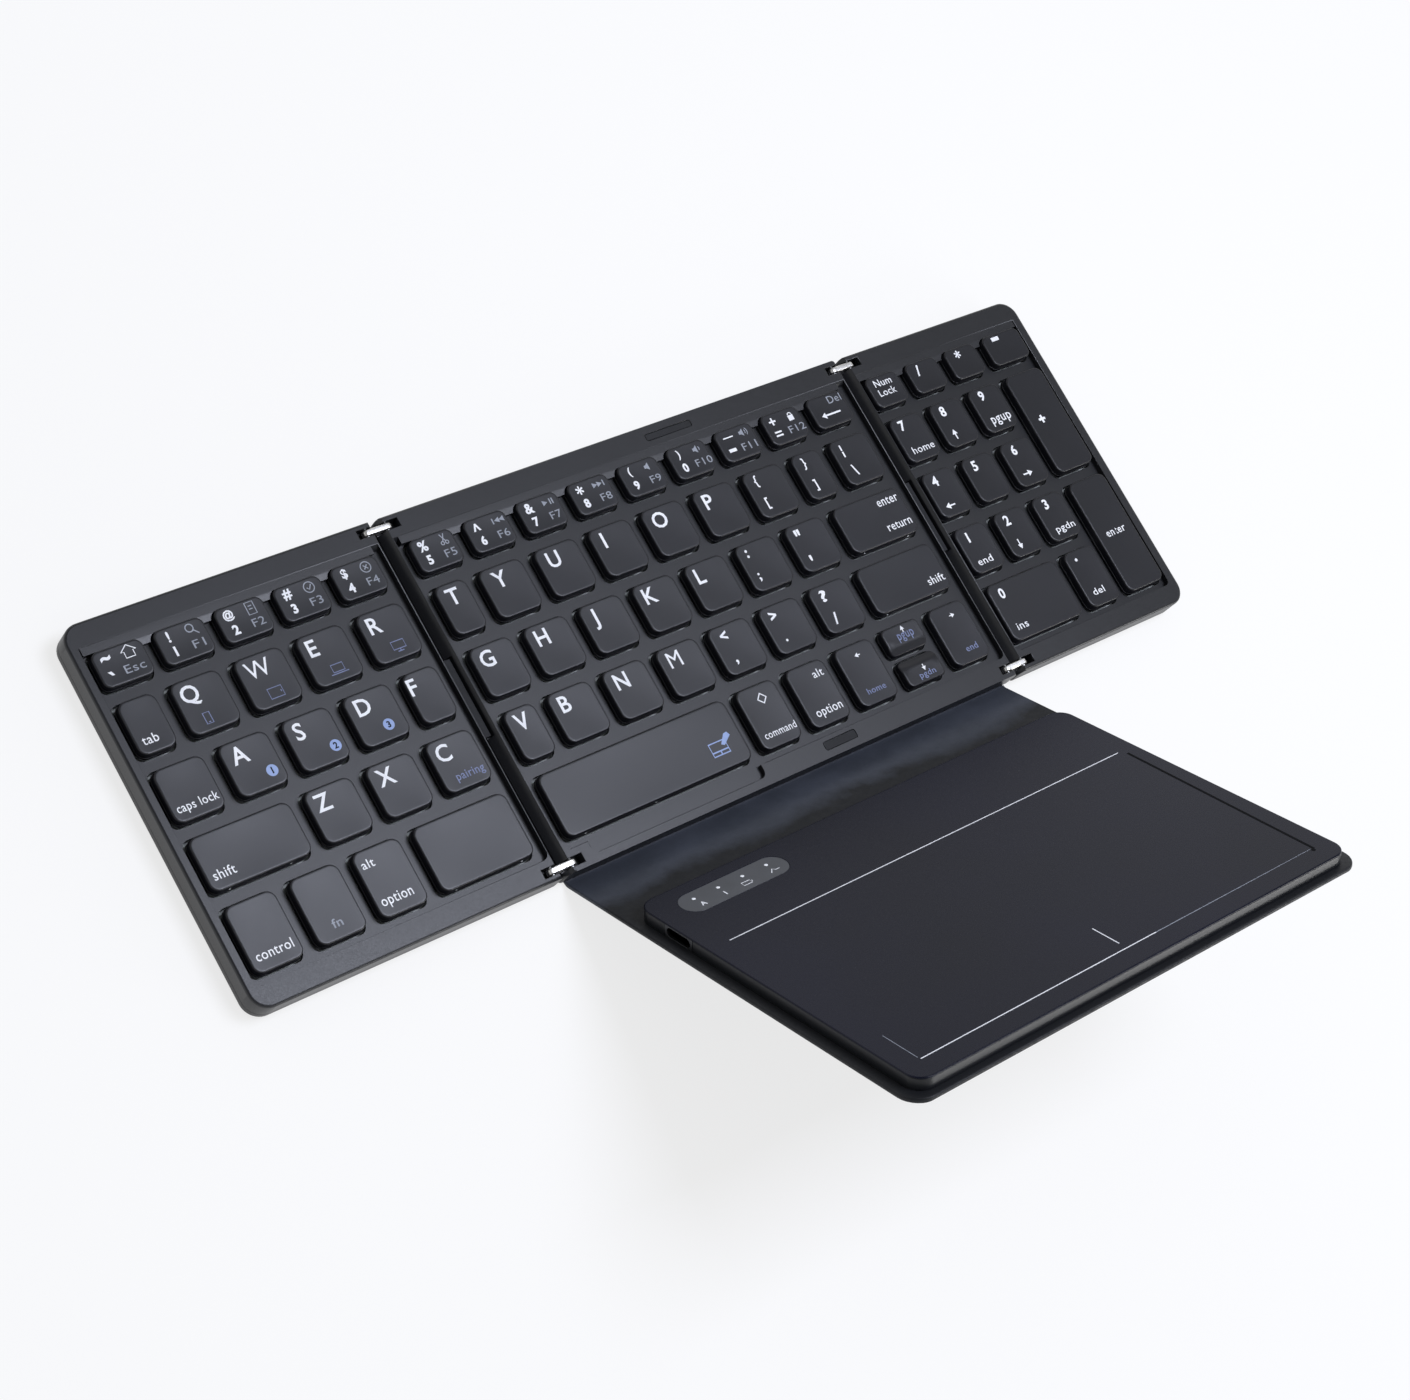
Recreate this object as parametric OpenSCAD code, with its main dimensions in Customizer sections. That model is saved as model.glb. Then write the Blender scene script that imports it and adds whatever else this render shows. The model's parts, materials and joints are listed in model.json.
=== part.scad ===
/* [Keyboard panels] */
// Rim before the front row of keys
front_rim = 7.75; // [7.5:0.05:8]
// Rim behind the rear row of keys
rear_rim = 8.45; // [8.2:0.05:8.8]
// Thickness of a keyboard panel, without feet or leather
case_t = 7; // [6.9:0.05:7.2]
// Thickness of the leather under the middle panel, and height of the feet
under_t = 0.8; // [0.6:0.1:1]
// Radius of the outer corners
corner_r = 5; // [3:0.5:6]
// Width of the rim beside the keys at the two outer ends
side_rim = 2.5; // [2:0.1:2.6]
// Gap left between the two side panels when they lie folded
fold_gap = 0.4; // [0.3:0.1:1]

/* [Keys] */
// Width of a letter key
key_w = 13.9; // [13.6:0.1:14.2]
// Front-to-rear length of a letter key
key_d = 14.4; // [14:0.1:14.6]
// Length of the short keys in the rear row
short_d = 9.9; // [9.5:0.1:10.2]
// Length of the keys in the front row
front_d = 17.8; // [17.4:0.1:18.2]
// Gap between letter keys, both ways
key_gap = 3.6; // [3.4:0.1:3.8]
// Width of a number pad key
pad_w = 12.1; // [11.8:0.1:12.4]
// Width of the number pad's last column
pad_end_w = 14.7; // [14.2:0.1:15]
// Corner radius of a key
key_r = 2; // [1.5:0.1:2.4]
// Height of the key tops above the rim
key_rise = 1; // [0.8:0.1:1]
// Key travel
travel = 1.3; // [1:0.1:1.3]

/* [Seam hinges] */
// Distance between the two pivots of a hinge link
pivot_gap = 6; // [5.8:0.1:6.4]
// Height of the pivots below the rim
pivot_drop = 1.5; // [1.4:0.05:1.6]
// Radius of a hinge pin
pin_r = 0.6; // [0.5:0.05:0.7]
// Thickness of a hinge link
link_t = 1.6; // [1.4:0.1:1.8]

/* [Touchpad panel] */
// Angle of the flap and the touchpad above the table, as the keyboard stands
tilt = 43.3; // [30:0.1:60]
// How far the leather and the touchpad's base stand in from the two seams
flap_inset = 2.175; // [2:0.025:4]
// Thickness of the leather
flap_t = 1.3; // [1.1:0.1:1.4]
// Gap between the folded keyboard and the closed touchpad
lid_gap = 0.3; // [0.2:0.1:1]
// Width of the base left free beside the touchpad module
lip_side = 3.05; // [2.5:0.05:4]
// Depth of the touchpad module
module_d = 97.2; // [95:0.2:98]
// Height of the touchpad module above its base
module_t = 3.6; // [3.5:0.05:3.8]

/* [Hidden] */
$fn = 48;

cut = 0.5;
depth = front_rim + front_d + 3 * key_d + short_d + 4 * key_gap + rear_rim;
half_d = depth / 2;
seam_gap = 0.3;
seam_r = 1.2;
wall = 1.2;

// Widths of the key fields, each from its own keys
pitch = key_w + key_gap;
edge_w = 10.4;
narrow_w = 9.9;
pad_gap = 3.15;
left_field = edge_w + 4 * pitch;
middle_field = narrow_w + key_gap + 6 * pitch + edge_w + pitch;
pad_field = 3 * (pad_w + pad_gap) + pad_end_w;

// Widths of the panels, from the middles of the seams
side_play = 1.05;
left_w = side_rim + side_play + left_field + 5.25;
right_w = 2.8 + pad_field + side_play + side_rim + 0.55;
middle_w = left_w + right_w + fold_gap;
seam_x = middle_w / 2;

// Left ends of the key fields, and the front line of the keys
left_keys_x = -seam_x - 5.25 - left_field;
middle_keys_x = -seam_x + 4.5;
pad_keys_x = seam_x + 2.8;
keys_front_y = -half_d + front_rim;
row_front = [
  keys_front_y,
  keys_front_y + front_d + key_gap,
  keys_front_y + front_d + 2 * key_gap + key_d,
  keys_front_y + front_d + 3 * key_gap + 2 * key_d,
  keys_front_y + front_d + 4 * key_gap + 3 * key_d
];

// Heights above the table
base_z = under_t;
rim_z = base_z + case_t;
split_z = base_z + 2;
floor_z = base_z + 1;
board_t = 0.8;
sheet_t = 0.3;
deck_z = rim_z - 1.8;
deck_t = 1.2;
under_deck_z = deck_z - deck_t;
key_top_z = rim_z + key_rise;
skirt_z = deck_z - 0.6;
key_play = 0.4;
hollow_z = split_z + 0.8;
rim_solid = 5.5;
side_solid = 2.4;
well_front_y = keys_front_y - 2;
well_rear_y = row_front[4] + short_d + 1;
well_r = 1.6;
bevel_run = 1.2;
stem_z = floor_z + board_t + sheet_t + travel + 0.1;
stem_r = 3;
dome_r = 2.2;
cavity_z = deck_z + 0.4;
dome_top_z = cavity_z - travel - 0.2;

// Seam hinges
pivot_z = rim_z - pivot_drop;
pivot_half = pivot_gap / 2;
link_y = half_d - 2.6;
link_r = 1.3;
link_play = 0.4;
slot_len = pivot_half + 3.2;
slot_floor_z = pivot_z - link_r - 0.2;
groove_half = 2;
groove_z = pivot_z - 1.96;
pin_in = 1.95;
ridge_half = groove_half + 0.35;
sleeve_len = 22;
sleeve_half = 1.05;
sleeve_top = -0.45;
sleeve_low = -1.35;
sleeve_edge = 0.25;
sleeve_play = 0.35;

// Screws
screw_y = half_d - 3.5;
screw_r = 0.75;
screw_head_r = 1.6;
boss_r = 2.2;
screw_in = 14;
left_screw_x = [-seam_x - left_w + screw_in / 2, -seam_x - left_w / 2, -seam_x - screw_in];
middle_screw_x = [-seam_x + screw_in, 0, seam_x - screw_in];
right_screw_x = [seam_x + screw_in, seam_x + right_w - screw_in / 2];

// Flap and touchpad
axis_y = -half_d - flap_t / 2 - 0.3;
axis_z = flap_t / 2;
roll_play = 0.2;
flap_w = middle_w - 2 * flap_inset;
module_w = flap_w - 2 * lip_side;
lip_front = 2.1;
module_y = 1.1;
plate_t = 0.4;
stack_top_z = 2 * pivot_z + pivot_gap;
flap_len = stack_top_z + lid_gap + module_t;
shell_t = module_t - plate_t;
shell_floor = 0.5;
port_y = module_y + 15.6;
port_w = 8.9;
port_h = shell_t - 0.3;
port_skin = 0.2;
bezel_w = port_w + 1.2;
port_deep = 7;
window_w = 32;
window_d = 7.6;
window_x = -module_w / 2 + 7.6 + window_w / 2;
window_y = module_y + 7.7;
led_pitch = 7.7;

case_colour = [0.24, 0.24, 0.26];
key_colour = [0.2, 0.21, 0.23];
steel_colour = [0.85, 0.85, 0.84];
board_colour = [0.05, 0.25, 0.14];
rubber_colour = [0.1, 0.1, 0.1];
leather_colour = [0.2, 0.22, 0.26];

// Sum of the first n entries of a list
function total(list, n) = n <= 0 ? 0 : list[n - 1] + total(list, n - 1);
// Places of a row of keys: [x, y, width, length] for each width in the list
function key_row(x, y, widths, gap, d) =
  [for (i = [0:len(widths) - 1]) [x + total(widths, i) + i * gap, y, widths[i], d]];
// The same width n times
function same(n, w) = [for (i = [1:n]) w];
// Width of each of n equal keys that fill a length with a gap between them
function share(length, n, gap) = (length - (n - 1) * gap) / n;

number_gap = 2.8;
left_number = key_row(left_keys_x, row_front[4],
  same(5, share(left_field, 5, number_gap)), number_gap, short_d);
left_upper = key_row(left_keys_x, row_front[3],
  concat([edge_w], same(4, key_w)), key_gap, key_d);
left_home = key_row(left_keys_x, row_front[2],
  concat(same(4, key_w), [edge_w]), key_gap, key_d);
left_shift = key_row(left_keys_x, row_front[1],
  [left_field - 3 * pitch], key_gap, key_d);
left_lower = key_row(left_keys_x + left_field - 3 * pitch + key_gap, row_front[1],
  same(3, key_w), key_gap, key_d);
left_front = key_row(left_keys_x, row_front[0], same(3, key_w), key_gap, front_d);
left_blank = key_row(left_keys_x + 3 * pitch, row_front[0],
  [left_field - 3 * pitch], key_gap, front_d);

middle_gap = 3.3;
first_w = narrow_w + key_gap;
home_w = first_w + 3.4;
middle_end_x = middle_keys_x + middle_field;
arrow_w = 13.6;
arrows_x = middle_end_x - 5 * arrow_w - 4 * key_gap;
half_gap = 1.4;
half_d_key = (front_d - half_gap) / 2;
middle_number = key_row(middle_keys_x, row_front[4],
  same(9, share(middle_field, 9, middle_gap)), middle_gap, short_d);
middle_upper = key_row(middle_keys_x, row_front[3],
  concat([narrow_w], same(6, key_w), [edge_w, key_w]), key_gap, key_d);
middle_home = key_row(middle_keys_x, row_front[2],
  concat([home_w - key_gap], same(6, key_w)), key_gap, key_d);
enter = key_row(middle_keys_x + home_w + 6 * pitch, row_front[2],
  [middle_field - home_w - 6 * pitch], key_gap, key_d);
middle_lower = key_row(middle_keys_x, row_front[1],
  concat([narrow_w], same(6, key_w)), key_gap, key_d);
right_shift = key_row(middle_keys_x + first_w + 6 * pitch, row_front[1],
  [middle_field - first_w - 6 * pitch], key_gap, key_d);
space = key_row(middle_keys_x, row_front[0],
  [arrows_x - key_gap - middle_keys_x], key_gap, front_d);
middle_front = concat(
  key_row(arrows_x, row_front[0], same(3, arrow_w), key_gap, front_d),
  [for (i = [0, 1]) [arrows_x + 3 * (arrow_w + key_gap),
    row_front[0] + i * (half_d_key + half_gap), arrow_w, half_d_key]],
  [[arrows_x + 4 * (arrow_w + key_gap), row_front[0], arrow_w, front_d]]);

pad_pitch = pad_w + pad_gap;
pad_end_x = pad_keys_x + 3 * pad_pitch;
pad_top = key_row(pad_keys_x, row_front[4], concat(same(3, pad_w), [pad_end_w]), pad_gap, short_d);
pad_upper = key_row(pad_keys_x, row_front[3], same(3, pad_w), pad_gap, key_d);
pad_home = key_row(pad_keys_x, row_front[2], same(3, pad_w), pad_gap, key_d);
pad_lower = key_row(pad_keys_x, row_front[1], same(3, pad_w), pad_gap, key_d);
pad_front = key_row(pad_keys_x, row_front[0], [2 * pad_w + pad_gap, pad_w], pad_gap, front_d);
pad_plus = key_row(pad_end_x, row_front[2], [pad_end_w], pad_gap, 2 * key_d + key_gap);
pad_enter = key_row(pad_end_x, row_front[0], [pad_end_w], pad_gap, front_d + key_gap + key_d);

left_keys = concat(left_number, left_upper, left_home, left_shift, left_lower,
  left_front, left_blank);
middle_keys = concat(middle_number, middle_upper, middle_home, enter, middle_lower,
  right_shift, space, middle_front);
pad_keys = concat(pad_top, pad_upper, pad_home, pad_lower, pad_front, pad_plus, pad_enter);

// Rectangle with round corners, its own radius at the left and at the right end
module outline(w, d, r_left, r_right) {
  translate([r_left, 0]) square([w - r_left - r_right, d]);
  translate([0, r_left]) square([w / 2, d - 2 * r_left]);
  translate([w / 2, r_right]) square([w / 2, d - 2 * r_right]);
  for (y = [r_left, d - r_left]) translate([r_left, y]) circle(r_left);
  for (y = [r_right, d - r_right]) translate([w - r_right, y]) circle(r_right);
}

// Solid with that outline, set in from the panel's edge all round
module slab(x, w, inset, r_left, r_right, z0, z1) {
  translate([x + inset, inset - half_d, z0])
    linear_extrude(z1 - z0)
      outline(w - 2 * inset, depth - 2 * inset,
        max(r_left - inset, 0.5), max(r_right - inset, 0.5));
}

// Rounded block at a key's place, grown by a margin all round
module key_block(k, grow, z0, z1) {
  r = min(key_r, k[3] / 4) + grow / 2;
  translate([k[0] - grow, k[1] - grow, z0])
    linear_extrude(z1 - z0) outline(k[2] + 2 * grow, k[3] + 2 * grow, r, r);
}

// Key cap with a ring under it that goes round the rubber dome
module key_cap(k) {
  mid = [k[0] + k[2] / 2, k[1] + k[3] / 2];
  difference() {
    union() {
      key_block(k, 0, skirt_z, key_top_z);
      translate([mid[0], mid[1], stem_z]) cylinder(r = stem_r, h = skirt_z - stem_z + 0.2);
    }
    translate([mid[0], mid[1], stem_z - cut])
      cylinder(r = dome_r + 0.3, h = cavity_z - stem_z + cut);
  }
}

module key_set(keys) {
  color(key_colour) for (k = keys) key_cap(k);
}

// V-shaped groove along a seam, from front to rear
module seam_groove(x) {
  translate([x, half_d + cut, 0]) rotate([90, 0, 0]) linear_extrude(depth + 2 * cut)
    polygon([[-groove_half, rim_z], [-groove_half, rim_z + cut], [groove_half, rim_z + cut],
      [groove_half, rim_z], [0, groove_z]]);
}

// Cylinder along Y
module rod_y(x, y0, y1, z, r) {
  translate([x, y1, z]) rotate([90, 0, 0]) cylinder(r = r, h = y1 - y0);
}

// Pins or their bores on one side of a seam, at the front and the rear
module hinge_pins_at(x, r) {
  for (s = [-1, 1])
    rod_y(x, s * link_y - pin_in, s * link_y + pin_in, pivot_z, r);
}

module link_slots(x) {
  w = link_t + 2 * link_play;
  for (s = [-1, 1])
    translate([x - slot_len, s * link_y - w / 2, slot_floor_z])
      cube([2 * slot_len, w, rim_z - slot_floor_z + cut]);
}

// Pocket that the cable's sleeve lies in
module sleeve_pocket(x) {
  w = sleeve_half + sleeve_play;
  translate([x - w, -sleeve_len / 2 - sleeve_play, pivot_z + sleeve_low - 0.3])
    cube([2 * w, sleeve_len + 2 * sleeve_play, case_t]);
}

// Everything that a seam takes away from the two cases beside it
module seam_cuts(x) {
  seam_groove(x);
  sleeve_pocket(x);
  link_slots(x);
  for (s = [-1, 1]) hinge_pins_at(x + s * pivot_half, pin_r);
}

module screw_bosses(places) {
  for (x = places, s = [-1, 1])
    translate([x, s * screw_y, floor_z])
      cylinder(r = boss_r, h = under_deck_z - floor_z + 0.2);
}

// Slope from the rear edge of the deck up to the rim
module rear_bevel(x, w) {
  translate([x, well_rear_y, 0]) rotate([90, 0, 90]) linear_extrude(w)
    polygon([[-well_r - cut, deck_z], [0, deck_z], [bevel_run, rim_z],
      [bevel_run, rim_z + cut], [-well_r - cut, rim_z + cut]]);
}

// Upper case of a panel: rim, recessed deck with an opening for each key, hollow below
module top_case(x, w, r_left, r_right, well_x, well_w, keys, screws) {
  color(case_colour) difference() {
    union() {
      difference() {
        slab(x, w, 0, r_left, r_right, split_z, rim_z);
        slab(x, w, wall, r_left, r_right, split_z - cut, hollow_z);
        translate([x + side_solid, rim_solid - half_d, hollow_z - cut])
          cube([w - 2 * side_solid, depth - 2 * rim_solid, under_deck_z - hollow_z + cut]);
      }
      screw_bosses(screws);
    }
    translate([well_x, well_front_y, deck_z])
      linear_extrude(case_t) outline(well_w, well_rear_y - well_front_y, well_r, well_r);
    rear_bevel(well_x, well_w);
    for (k = keys) key_block(k, key_play, under_deck_z - cut, deck_z + cut);
    for (px = screws, s = [-1, 1])
      translate([px, s * screw_y, floor_z - cut])
        cylinder(r = screw_r + 0.05, h = under_deck_z - floor_z);
    children();
  }
}

// Lower case of a panel: a tray with screw holes
module bottom_case(x, w, r_left, r_right, screws) {
  color(case_colour) difference() {
    slab(x, w, 0, r_left, r_right, base_z, split_z);
    slab(x, w, wall, r_left, r_right, floor_z, split_z + cut);
    for (px = screws, s = [-1, 1]) translate([px, s * screw_y, 0]) {
      cylinder(r = screw_r + 0.15, h = split_z + cut);
      cylinder(r = screw_head_r + 0.2, h = base_z + 0.5);
    }
    children();
  }
}

// Board or sheet inside a panel, with holes for the screw bosses
module inner_sheet(x, w, r_left, r_right, z0, z1, screws) {
  difference() {
    slab(x, w, wall + 0.25, r_left, r_right, z0, z1);
    for (px = screws, s = [-1, 1])
      translate([px, s * screw_y, z0 - cut]) cylinder(r = boss_r + 0.3, h = z1 - z0 + 2 * cut);
  }
}

module circuit_board(x, w, r_left, r_right, screws) {
  color(board_colour)
    inner_sheet(x, w, r_left, r_right, floor_z, floor_z + board_t, screws);
}

// Rubber sheet with one dome under each key
module dome_sheet(x, w, r_left, r_right, keys, screws) {
  z0 = floor_z + board_t;
  color([0.82, 0.84, 0.82]) {
    inner_sheet(x, w, r_left, r_right, z0, z0 + sheet_t, screws);
    for (k = keys) translate([k[0] + k[2] / 2, k[1] + k[3] / 2, z0 + sheet_t - 0.1])
      cylinder(r = dome_r, h = dome_top_z - z0 - sheet_t + 0.1);
  }
}

module screws(places) {
  color(steel_colour) for (x = places, s = [-1, 1]) translate([x, s * screw_y, 0]) {
    translate([0, 0, base_z + 0.05]) cylinder(r = screw_head_r, h = 0.45);
    translate([0, 0, base_z + 0.3]) cylinder(r = screw_r, h = under_deck_z - base_z - 0.9);
  }
}

// Long rubber foot, sunk a little into the lower case
foot_d = 4;
foot_y = half_d - 9;
foot_sink = 0.2;
foot_r = foot_d / 2 - 0.1;
module foot_shapes(x, w, grow, h) {
  for (s = [-1, 1])
    translate([x - grow, s * foot_y - foot_d / 2 - grow, 0])
      linear_extrude(h) outline(w + 2 * grow, foot_d + 2 * grow, foot_r, foot_r);
}

module hinge_links(x) {
  color(steel_colour) for (s = [-1, 1])
    translate([x, s * link_y + link_t / 2, pivot_z]) rotate([90, 0, 0])
      linear_extrude(link_t) difference() {
        union() {
          translate([-pivot_half, -link_r]) square([pivot_gap, 2 * link_r]);
          for (e = [-1, 1]) translate([e * pivot_half, 0]) circle(link_r);
        }
        for (e = [-1, 1]) translate([e * pivot_half, 0]) circle(pin_r + 0.05);
      }
}

// Rubber sleeve of the ribbon cable that crosses a seam
module flex_sleeve(x) {
  color(rubber_colour) translate([x, sleeve_len / 2, pivot_z]) rotate([90, 0, 0])
    linear_extrude(sleeve_len) {
      w = sleeve_half - sleeve_edge;
      translate([-w, sleeve_low]) square([2 * w, sleeve_top - sleeve_low]);
      for (s = [-1, 1], z = [sleeve_low + sleeve_edge, sleeve_top - sleeve_edge])
        translate([s * w, z]) circle(sleeve_edge);
      translate([-sleeve_half, sleeve_low + sleeve_edge])
        square([2 * sleeve_half, sleeve_top - sleeve_low - 2 * sleeve_edge]);
    }
}

left_x = -seam_x - left_w;
left_body_w = left_w - seam_gap / 2;
middle_x = -seam_x + seam_gap / 2;
middle_body_w = middle_w - seam_gap;
right_x = seam_x + seam_gap / 2;
right_body_w = right_w - seam_gap / 2;
foot_outer = 14;
foot_seam = 18;
left_foot = [left_x + foot_outer, left_w - foot_outer - foot_seam];
right_foot = [seam_x + foot_seam, right_w - foot_outer - foot_seam];

module left_top_case() {
  top_case(left_x, left_body_w, corner_r, seam_r, left_x + side_rim,
    left_w - side_rim - ridge_half, left_keys, left_screw_x) seam_cuts(-seam_x);
}

module middle_top_case() {
  top_case(middle_x, middle_body_w, seam_r, seam_r, -seam_x + ridge_half,
    middle_w - 2 * ridge_half, middle_keys, middle_screw_x) {
    seam_cuts(-seam_x);
    seam_cuts(seam_x);
    space_scoop();
    magnet_pair(0.05, half_d - 3.3, hollow_z - cut, magnet_h + cut);
    bumper_shapes(0.1, rim_z - 0.5, rim_z + cut);
  }
}

module right_top_case() {
  top_case(right_x, right_body_w, seam_r, corner_r, seam_x + ridge_half,
    right_w - side_rim - 0.5 - ridge_half, pad_keys, right_screw_x) seam_cuts(seam_x);
}

// Hollow in the front rim that lets a thumb reach the space bar
module space_scoop() {
  w = space[0][2] - 4;
  translate([space[0][0] + 5, -half_d + 2.3, deck_z + 0.3])
    linear_extrude(case_t) outline(w, 5, 1.6, 1.6);
}

// Rubber bumpers that the folded panels rest on
bumper_places = [[8, -half_d + 2.1, 11, 2.3], [7, half_d - 4.3, 15.4, 1.8]];
module bumper_shapes(grow, z0, z1) {
  for (p = bumper_places)
    translate([p[0] - grow, p[1] - grow, z0]) linear_extrude(z1 - z0)
      outline(p[2] + 2 * grow, p[3] + 2 * grow, 0.5, 0.5);
}

module middle_bumpers() {
  color(rubber_colour) bumper_shapes(0, rim_z - 0.5, rim_z - 0.05);
}

module left_bottom_case() {
  bottom_case(left_x, left_body_w, corner_r, seam_r, left_screw_x)
    foot_shapes(left_foot[0], left_foot[1], 0.1, base_z + foot_sink);
}

module middle_bottom_case() {
  bottom_case(middle_x, middle_body_w, seam_r, seam_r, middle_screw_x);
}

module right_bottom_case() {
  bottom_case(right_x, right_body_w, seam_r, corner_r, right_screw_x)
    foot_shapes(right_foot[0], right_foot[1], 0.1, base_z + foot_sink);
}

module left_dome_sheet() {
  dome_sheet(left_x, left_body_w, corner_r, seam_r, left_keys, left_screw_x);
}

module middle_dome_sheet() {
  dome_sheet(middle_x, middle_body_w, seam_r, seam_r, middle_keys, middle_screw_x);
}

module right_dome_sheet() {
  dome_sheet(right_x, right_body_w, seam_r, corner_r, pad_keys, right_screw_x);
}

module left_circuit_board() {
  circuit_board(left_x, left_body_w, corner_r, seam_r, left_screw_x);
}

module middle_circuit_board() {
  circuit_board(middle_x, middle_body_w, seam_r, seam_r, middle_screw_x);
}

module right_circuit_board() {
  circuit_board(right_x, right_body_w, seam_r, corner_r, right_screw_x);
}

module left_screws() { screws(left_screw_x); }
module middle_screws() { screws(middle_screw_x); }
module right_screws() { screws(right_screw_x); }

module left_feet() {
  color(rubber_colour) foot_shapes(left_foot[0], left_foot[1], 0, base_z + foot_sink);
}

module right_feet() {
  color(rubber_colour) foot_shapes(right_foot[0], right_foot[1], 0, base_z + foot_sink);
}

module left_hinge_pins() {
  color(steel_colour) hinge_pins_at(-seam_x - pivot_half, pin_r);
}

module middle_hinge_pins() {
  color(steel_colour) {
    hinge_pins_at(-seam_x + pivot_half, pin_r);
    hinge_pins_at(seam_x - pivot_half, pin_r);
  }
}

module right_hinge_pins() {
  color(steel_colour) hinge_pins_at(seam_x + pivot_half, pin_r);
}

module left_hinge_links() { hinge_links(-seam_x); }
module right_hinge_links() { hinge_links(seam_x); }
module left_flex_sleeve() { flex_sleeve(-seam_x); }
module right_flex_sleeve() { flex_sleeve(seam_x); }

// Small magnets under the rear rim that hold the touchpad down when it is closed
magnet_r = 2.2;
magnet_h = 1.3;
magnet_x = 48;
module magnet_pair(grow, y, z, h) {
  for (s = [-1, 1]) translate([s * magnet_x, y, z]) cylinder(r = magnet_r + grow, h = h);
}

module middle_magnets() {
  color(steel_colour) magnet_pair(0, half_d - 3.3, hollow_z, magnet_h);
}

module left_number_keys() { key_set(left_number); }
module left_upper_keys() { key_set(left_upper); }
module left_home_keys() { key_set(left_home); }
module left_lower_keys() { key_set(left_lower); }
module left_front_keys() { key_set(left_front); }
module left_shift_key() { key_set(left_shift); }
module left_blank_key() { key_set(left_blank); }
module middle_number_keys() { key_set(middle_number); }
module middle_upper_keys() { key_set(middle_upper); }
module middle_home_keys() { key_set(middle_home); }
module middle_lower_keys() { key_set(middle_lower); }
module middle_front_keys() { key_set(middle_front); }
module enter_key() { key_set(enter); }
module right_shift_key() { key_set(right_shift); }
module space_key() { key_set(space); }
module pad_top_keys() { key_set(pad_top); }
module pad_upper_keys() { key_set(pad_upper); }
module pad_home_keys() { key_set(pad_home); }
module pad_lower_keys() { key_set(pad_lower); }
module pad_front_keys() { key_set(pad_front); }
module pad_plus_key() { key_set(pad_plus); }
module pad_enter_key() { key_set(pad_enter); }

// Cylinder along X, as wide as the flap
module roll(y, z) {
  translate([-flap_w / 2, y, z]) rotate([0, 90, 0]) cylinder(r = flap_t / 2, h = flap_w);
}

// Leather bonded under the middle panel, ending in the rear crease of the flap
module middle_leather() {
  color(leather_colour) {
    translate([-flap_w / 2, -half_d, 0]) cube([flap_w, depth - 0.6, under_t]);
    translate([-flap_w / 2, axis_y, 0]) cube([flap_w, -half_d - axis_y + 0.2, under_t]);
    roll(axis_y, axis_z);
  }
}

// Places its children in the frame of the rear crease, raised by the tilt
module at_flap() {
  translate([0, axis_y, axis_z]) rotate([-tilt, 0, 0]) children();
}

// The same at the crease between the flap and the touchpad
module at_touch() {
  at_flap() translate([0, -flap_len, 0]) children();
}

start_y = flap_t / 2 + roll_play;
module flap_leather() {
  color(leather_colour) at_flap() {
    translate([-flap_w / 2, -flap_len, -flap_t / 2])
      cube([flap_w, flap_len - start_y, flap_t]);
    roll(-flap_len, 0);
  }
}

// Rectangle with one radius at the crease end and another at the free end
module touch_outline(w, y_near, y_far, r_near, r_far) {
  translate([w / 2, -y_far]) rotate([0, 0, 90]) outline(y_far - y_near, w, r_far, r_near);
}

module touch_slab(w, y_near, y_far, r_near, r_far, z0, z1) {
  translate([0, 0, z0]) linear_extrude(z1 - z0)
    touch_outline(w, y_near, y_far, r_near, r_far);
}

touch_z = flap_t / 2;
module_end = module_y + module_d;
module_r = 4.5;
plate_z = touch_z + shell_t;
touch_board_z = plate_z - board_t;

// Leather-covered stiff base that the touchpad module sits on
module touch_base() {
  color(leather_colour) at_touch()
    touch_slab(flap_w, start_y, module_end + lip_front, 0.6, 6, -touch_z, touch_z);
}

module port_shape(grow) {
  w = port_w + 2 * grow;
  h = port_h + 2 * grow;
  translate([h / 2 - w / 2, -h / 2]) square([w - h, h]);
  for (s = [-1, 1]) translate([s * (w - h) / 2, 0]) circle(h / 2);
}

// Places a shape drawn across X at the charging port, extruded into the module
module at_port(x, deep) {
  translate([x, -port_y, touch_z + shell_t / 2])
    rotate([90, 0, 90]) linear_extrude(deep) children();
}

// Tray that carries the electronics, with the port's opening in its left wall
module touch_shell() {
  color(case_colour) at_touch() difference() {
    touch_slab(module_w, module_y, module_end, module_r, module_r, touch_z, plate_z);
    touch_slab(module_w - 2 * wall, module_y + wall, module_end - wall,
      module_r - wall, module_r - wall, touch_z + shell_floor, plate_z + cut);
    translate([-module_w / 2 - cut, -port_y - bezel_w / 2 - 0.05, touch_z - cut])
      cube([port_deep + 1, bezel_w + 0.1, shell_t + 2 * cut]);
  }
}

module window_shape(grow) {
  r = window_d / 2 + grow - 0.1;
  translate([window_x - window_w / 2 - grow, -window_y - window_d / 2 - grow])
    outline(window_w + 2 * grow, window_d + 2 * grow, r, r);
}

// One smooth cover over the whole module, its front part is the touch surface
module touch_plate() {
  color([0.16, 0.18, 0.21]) at_touch() difference() {
    touch_slab(module_w, module_y, module_end, module_r, module_r, plate_z, plate_z + plate_t);
    translate([0, 0, plate_z - cut]) linear_extrude(plate_t + 2 * cut) window_shape(0.05);
  }
}

module led_window() {
  color([0.35, 0.36, 0.37]) at_touch()
    translate([0, 0, plate_z]) linear_extrude(plate_t - 0.05) window_shape(0);
}

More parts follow.
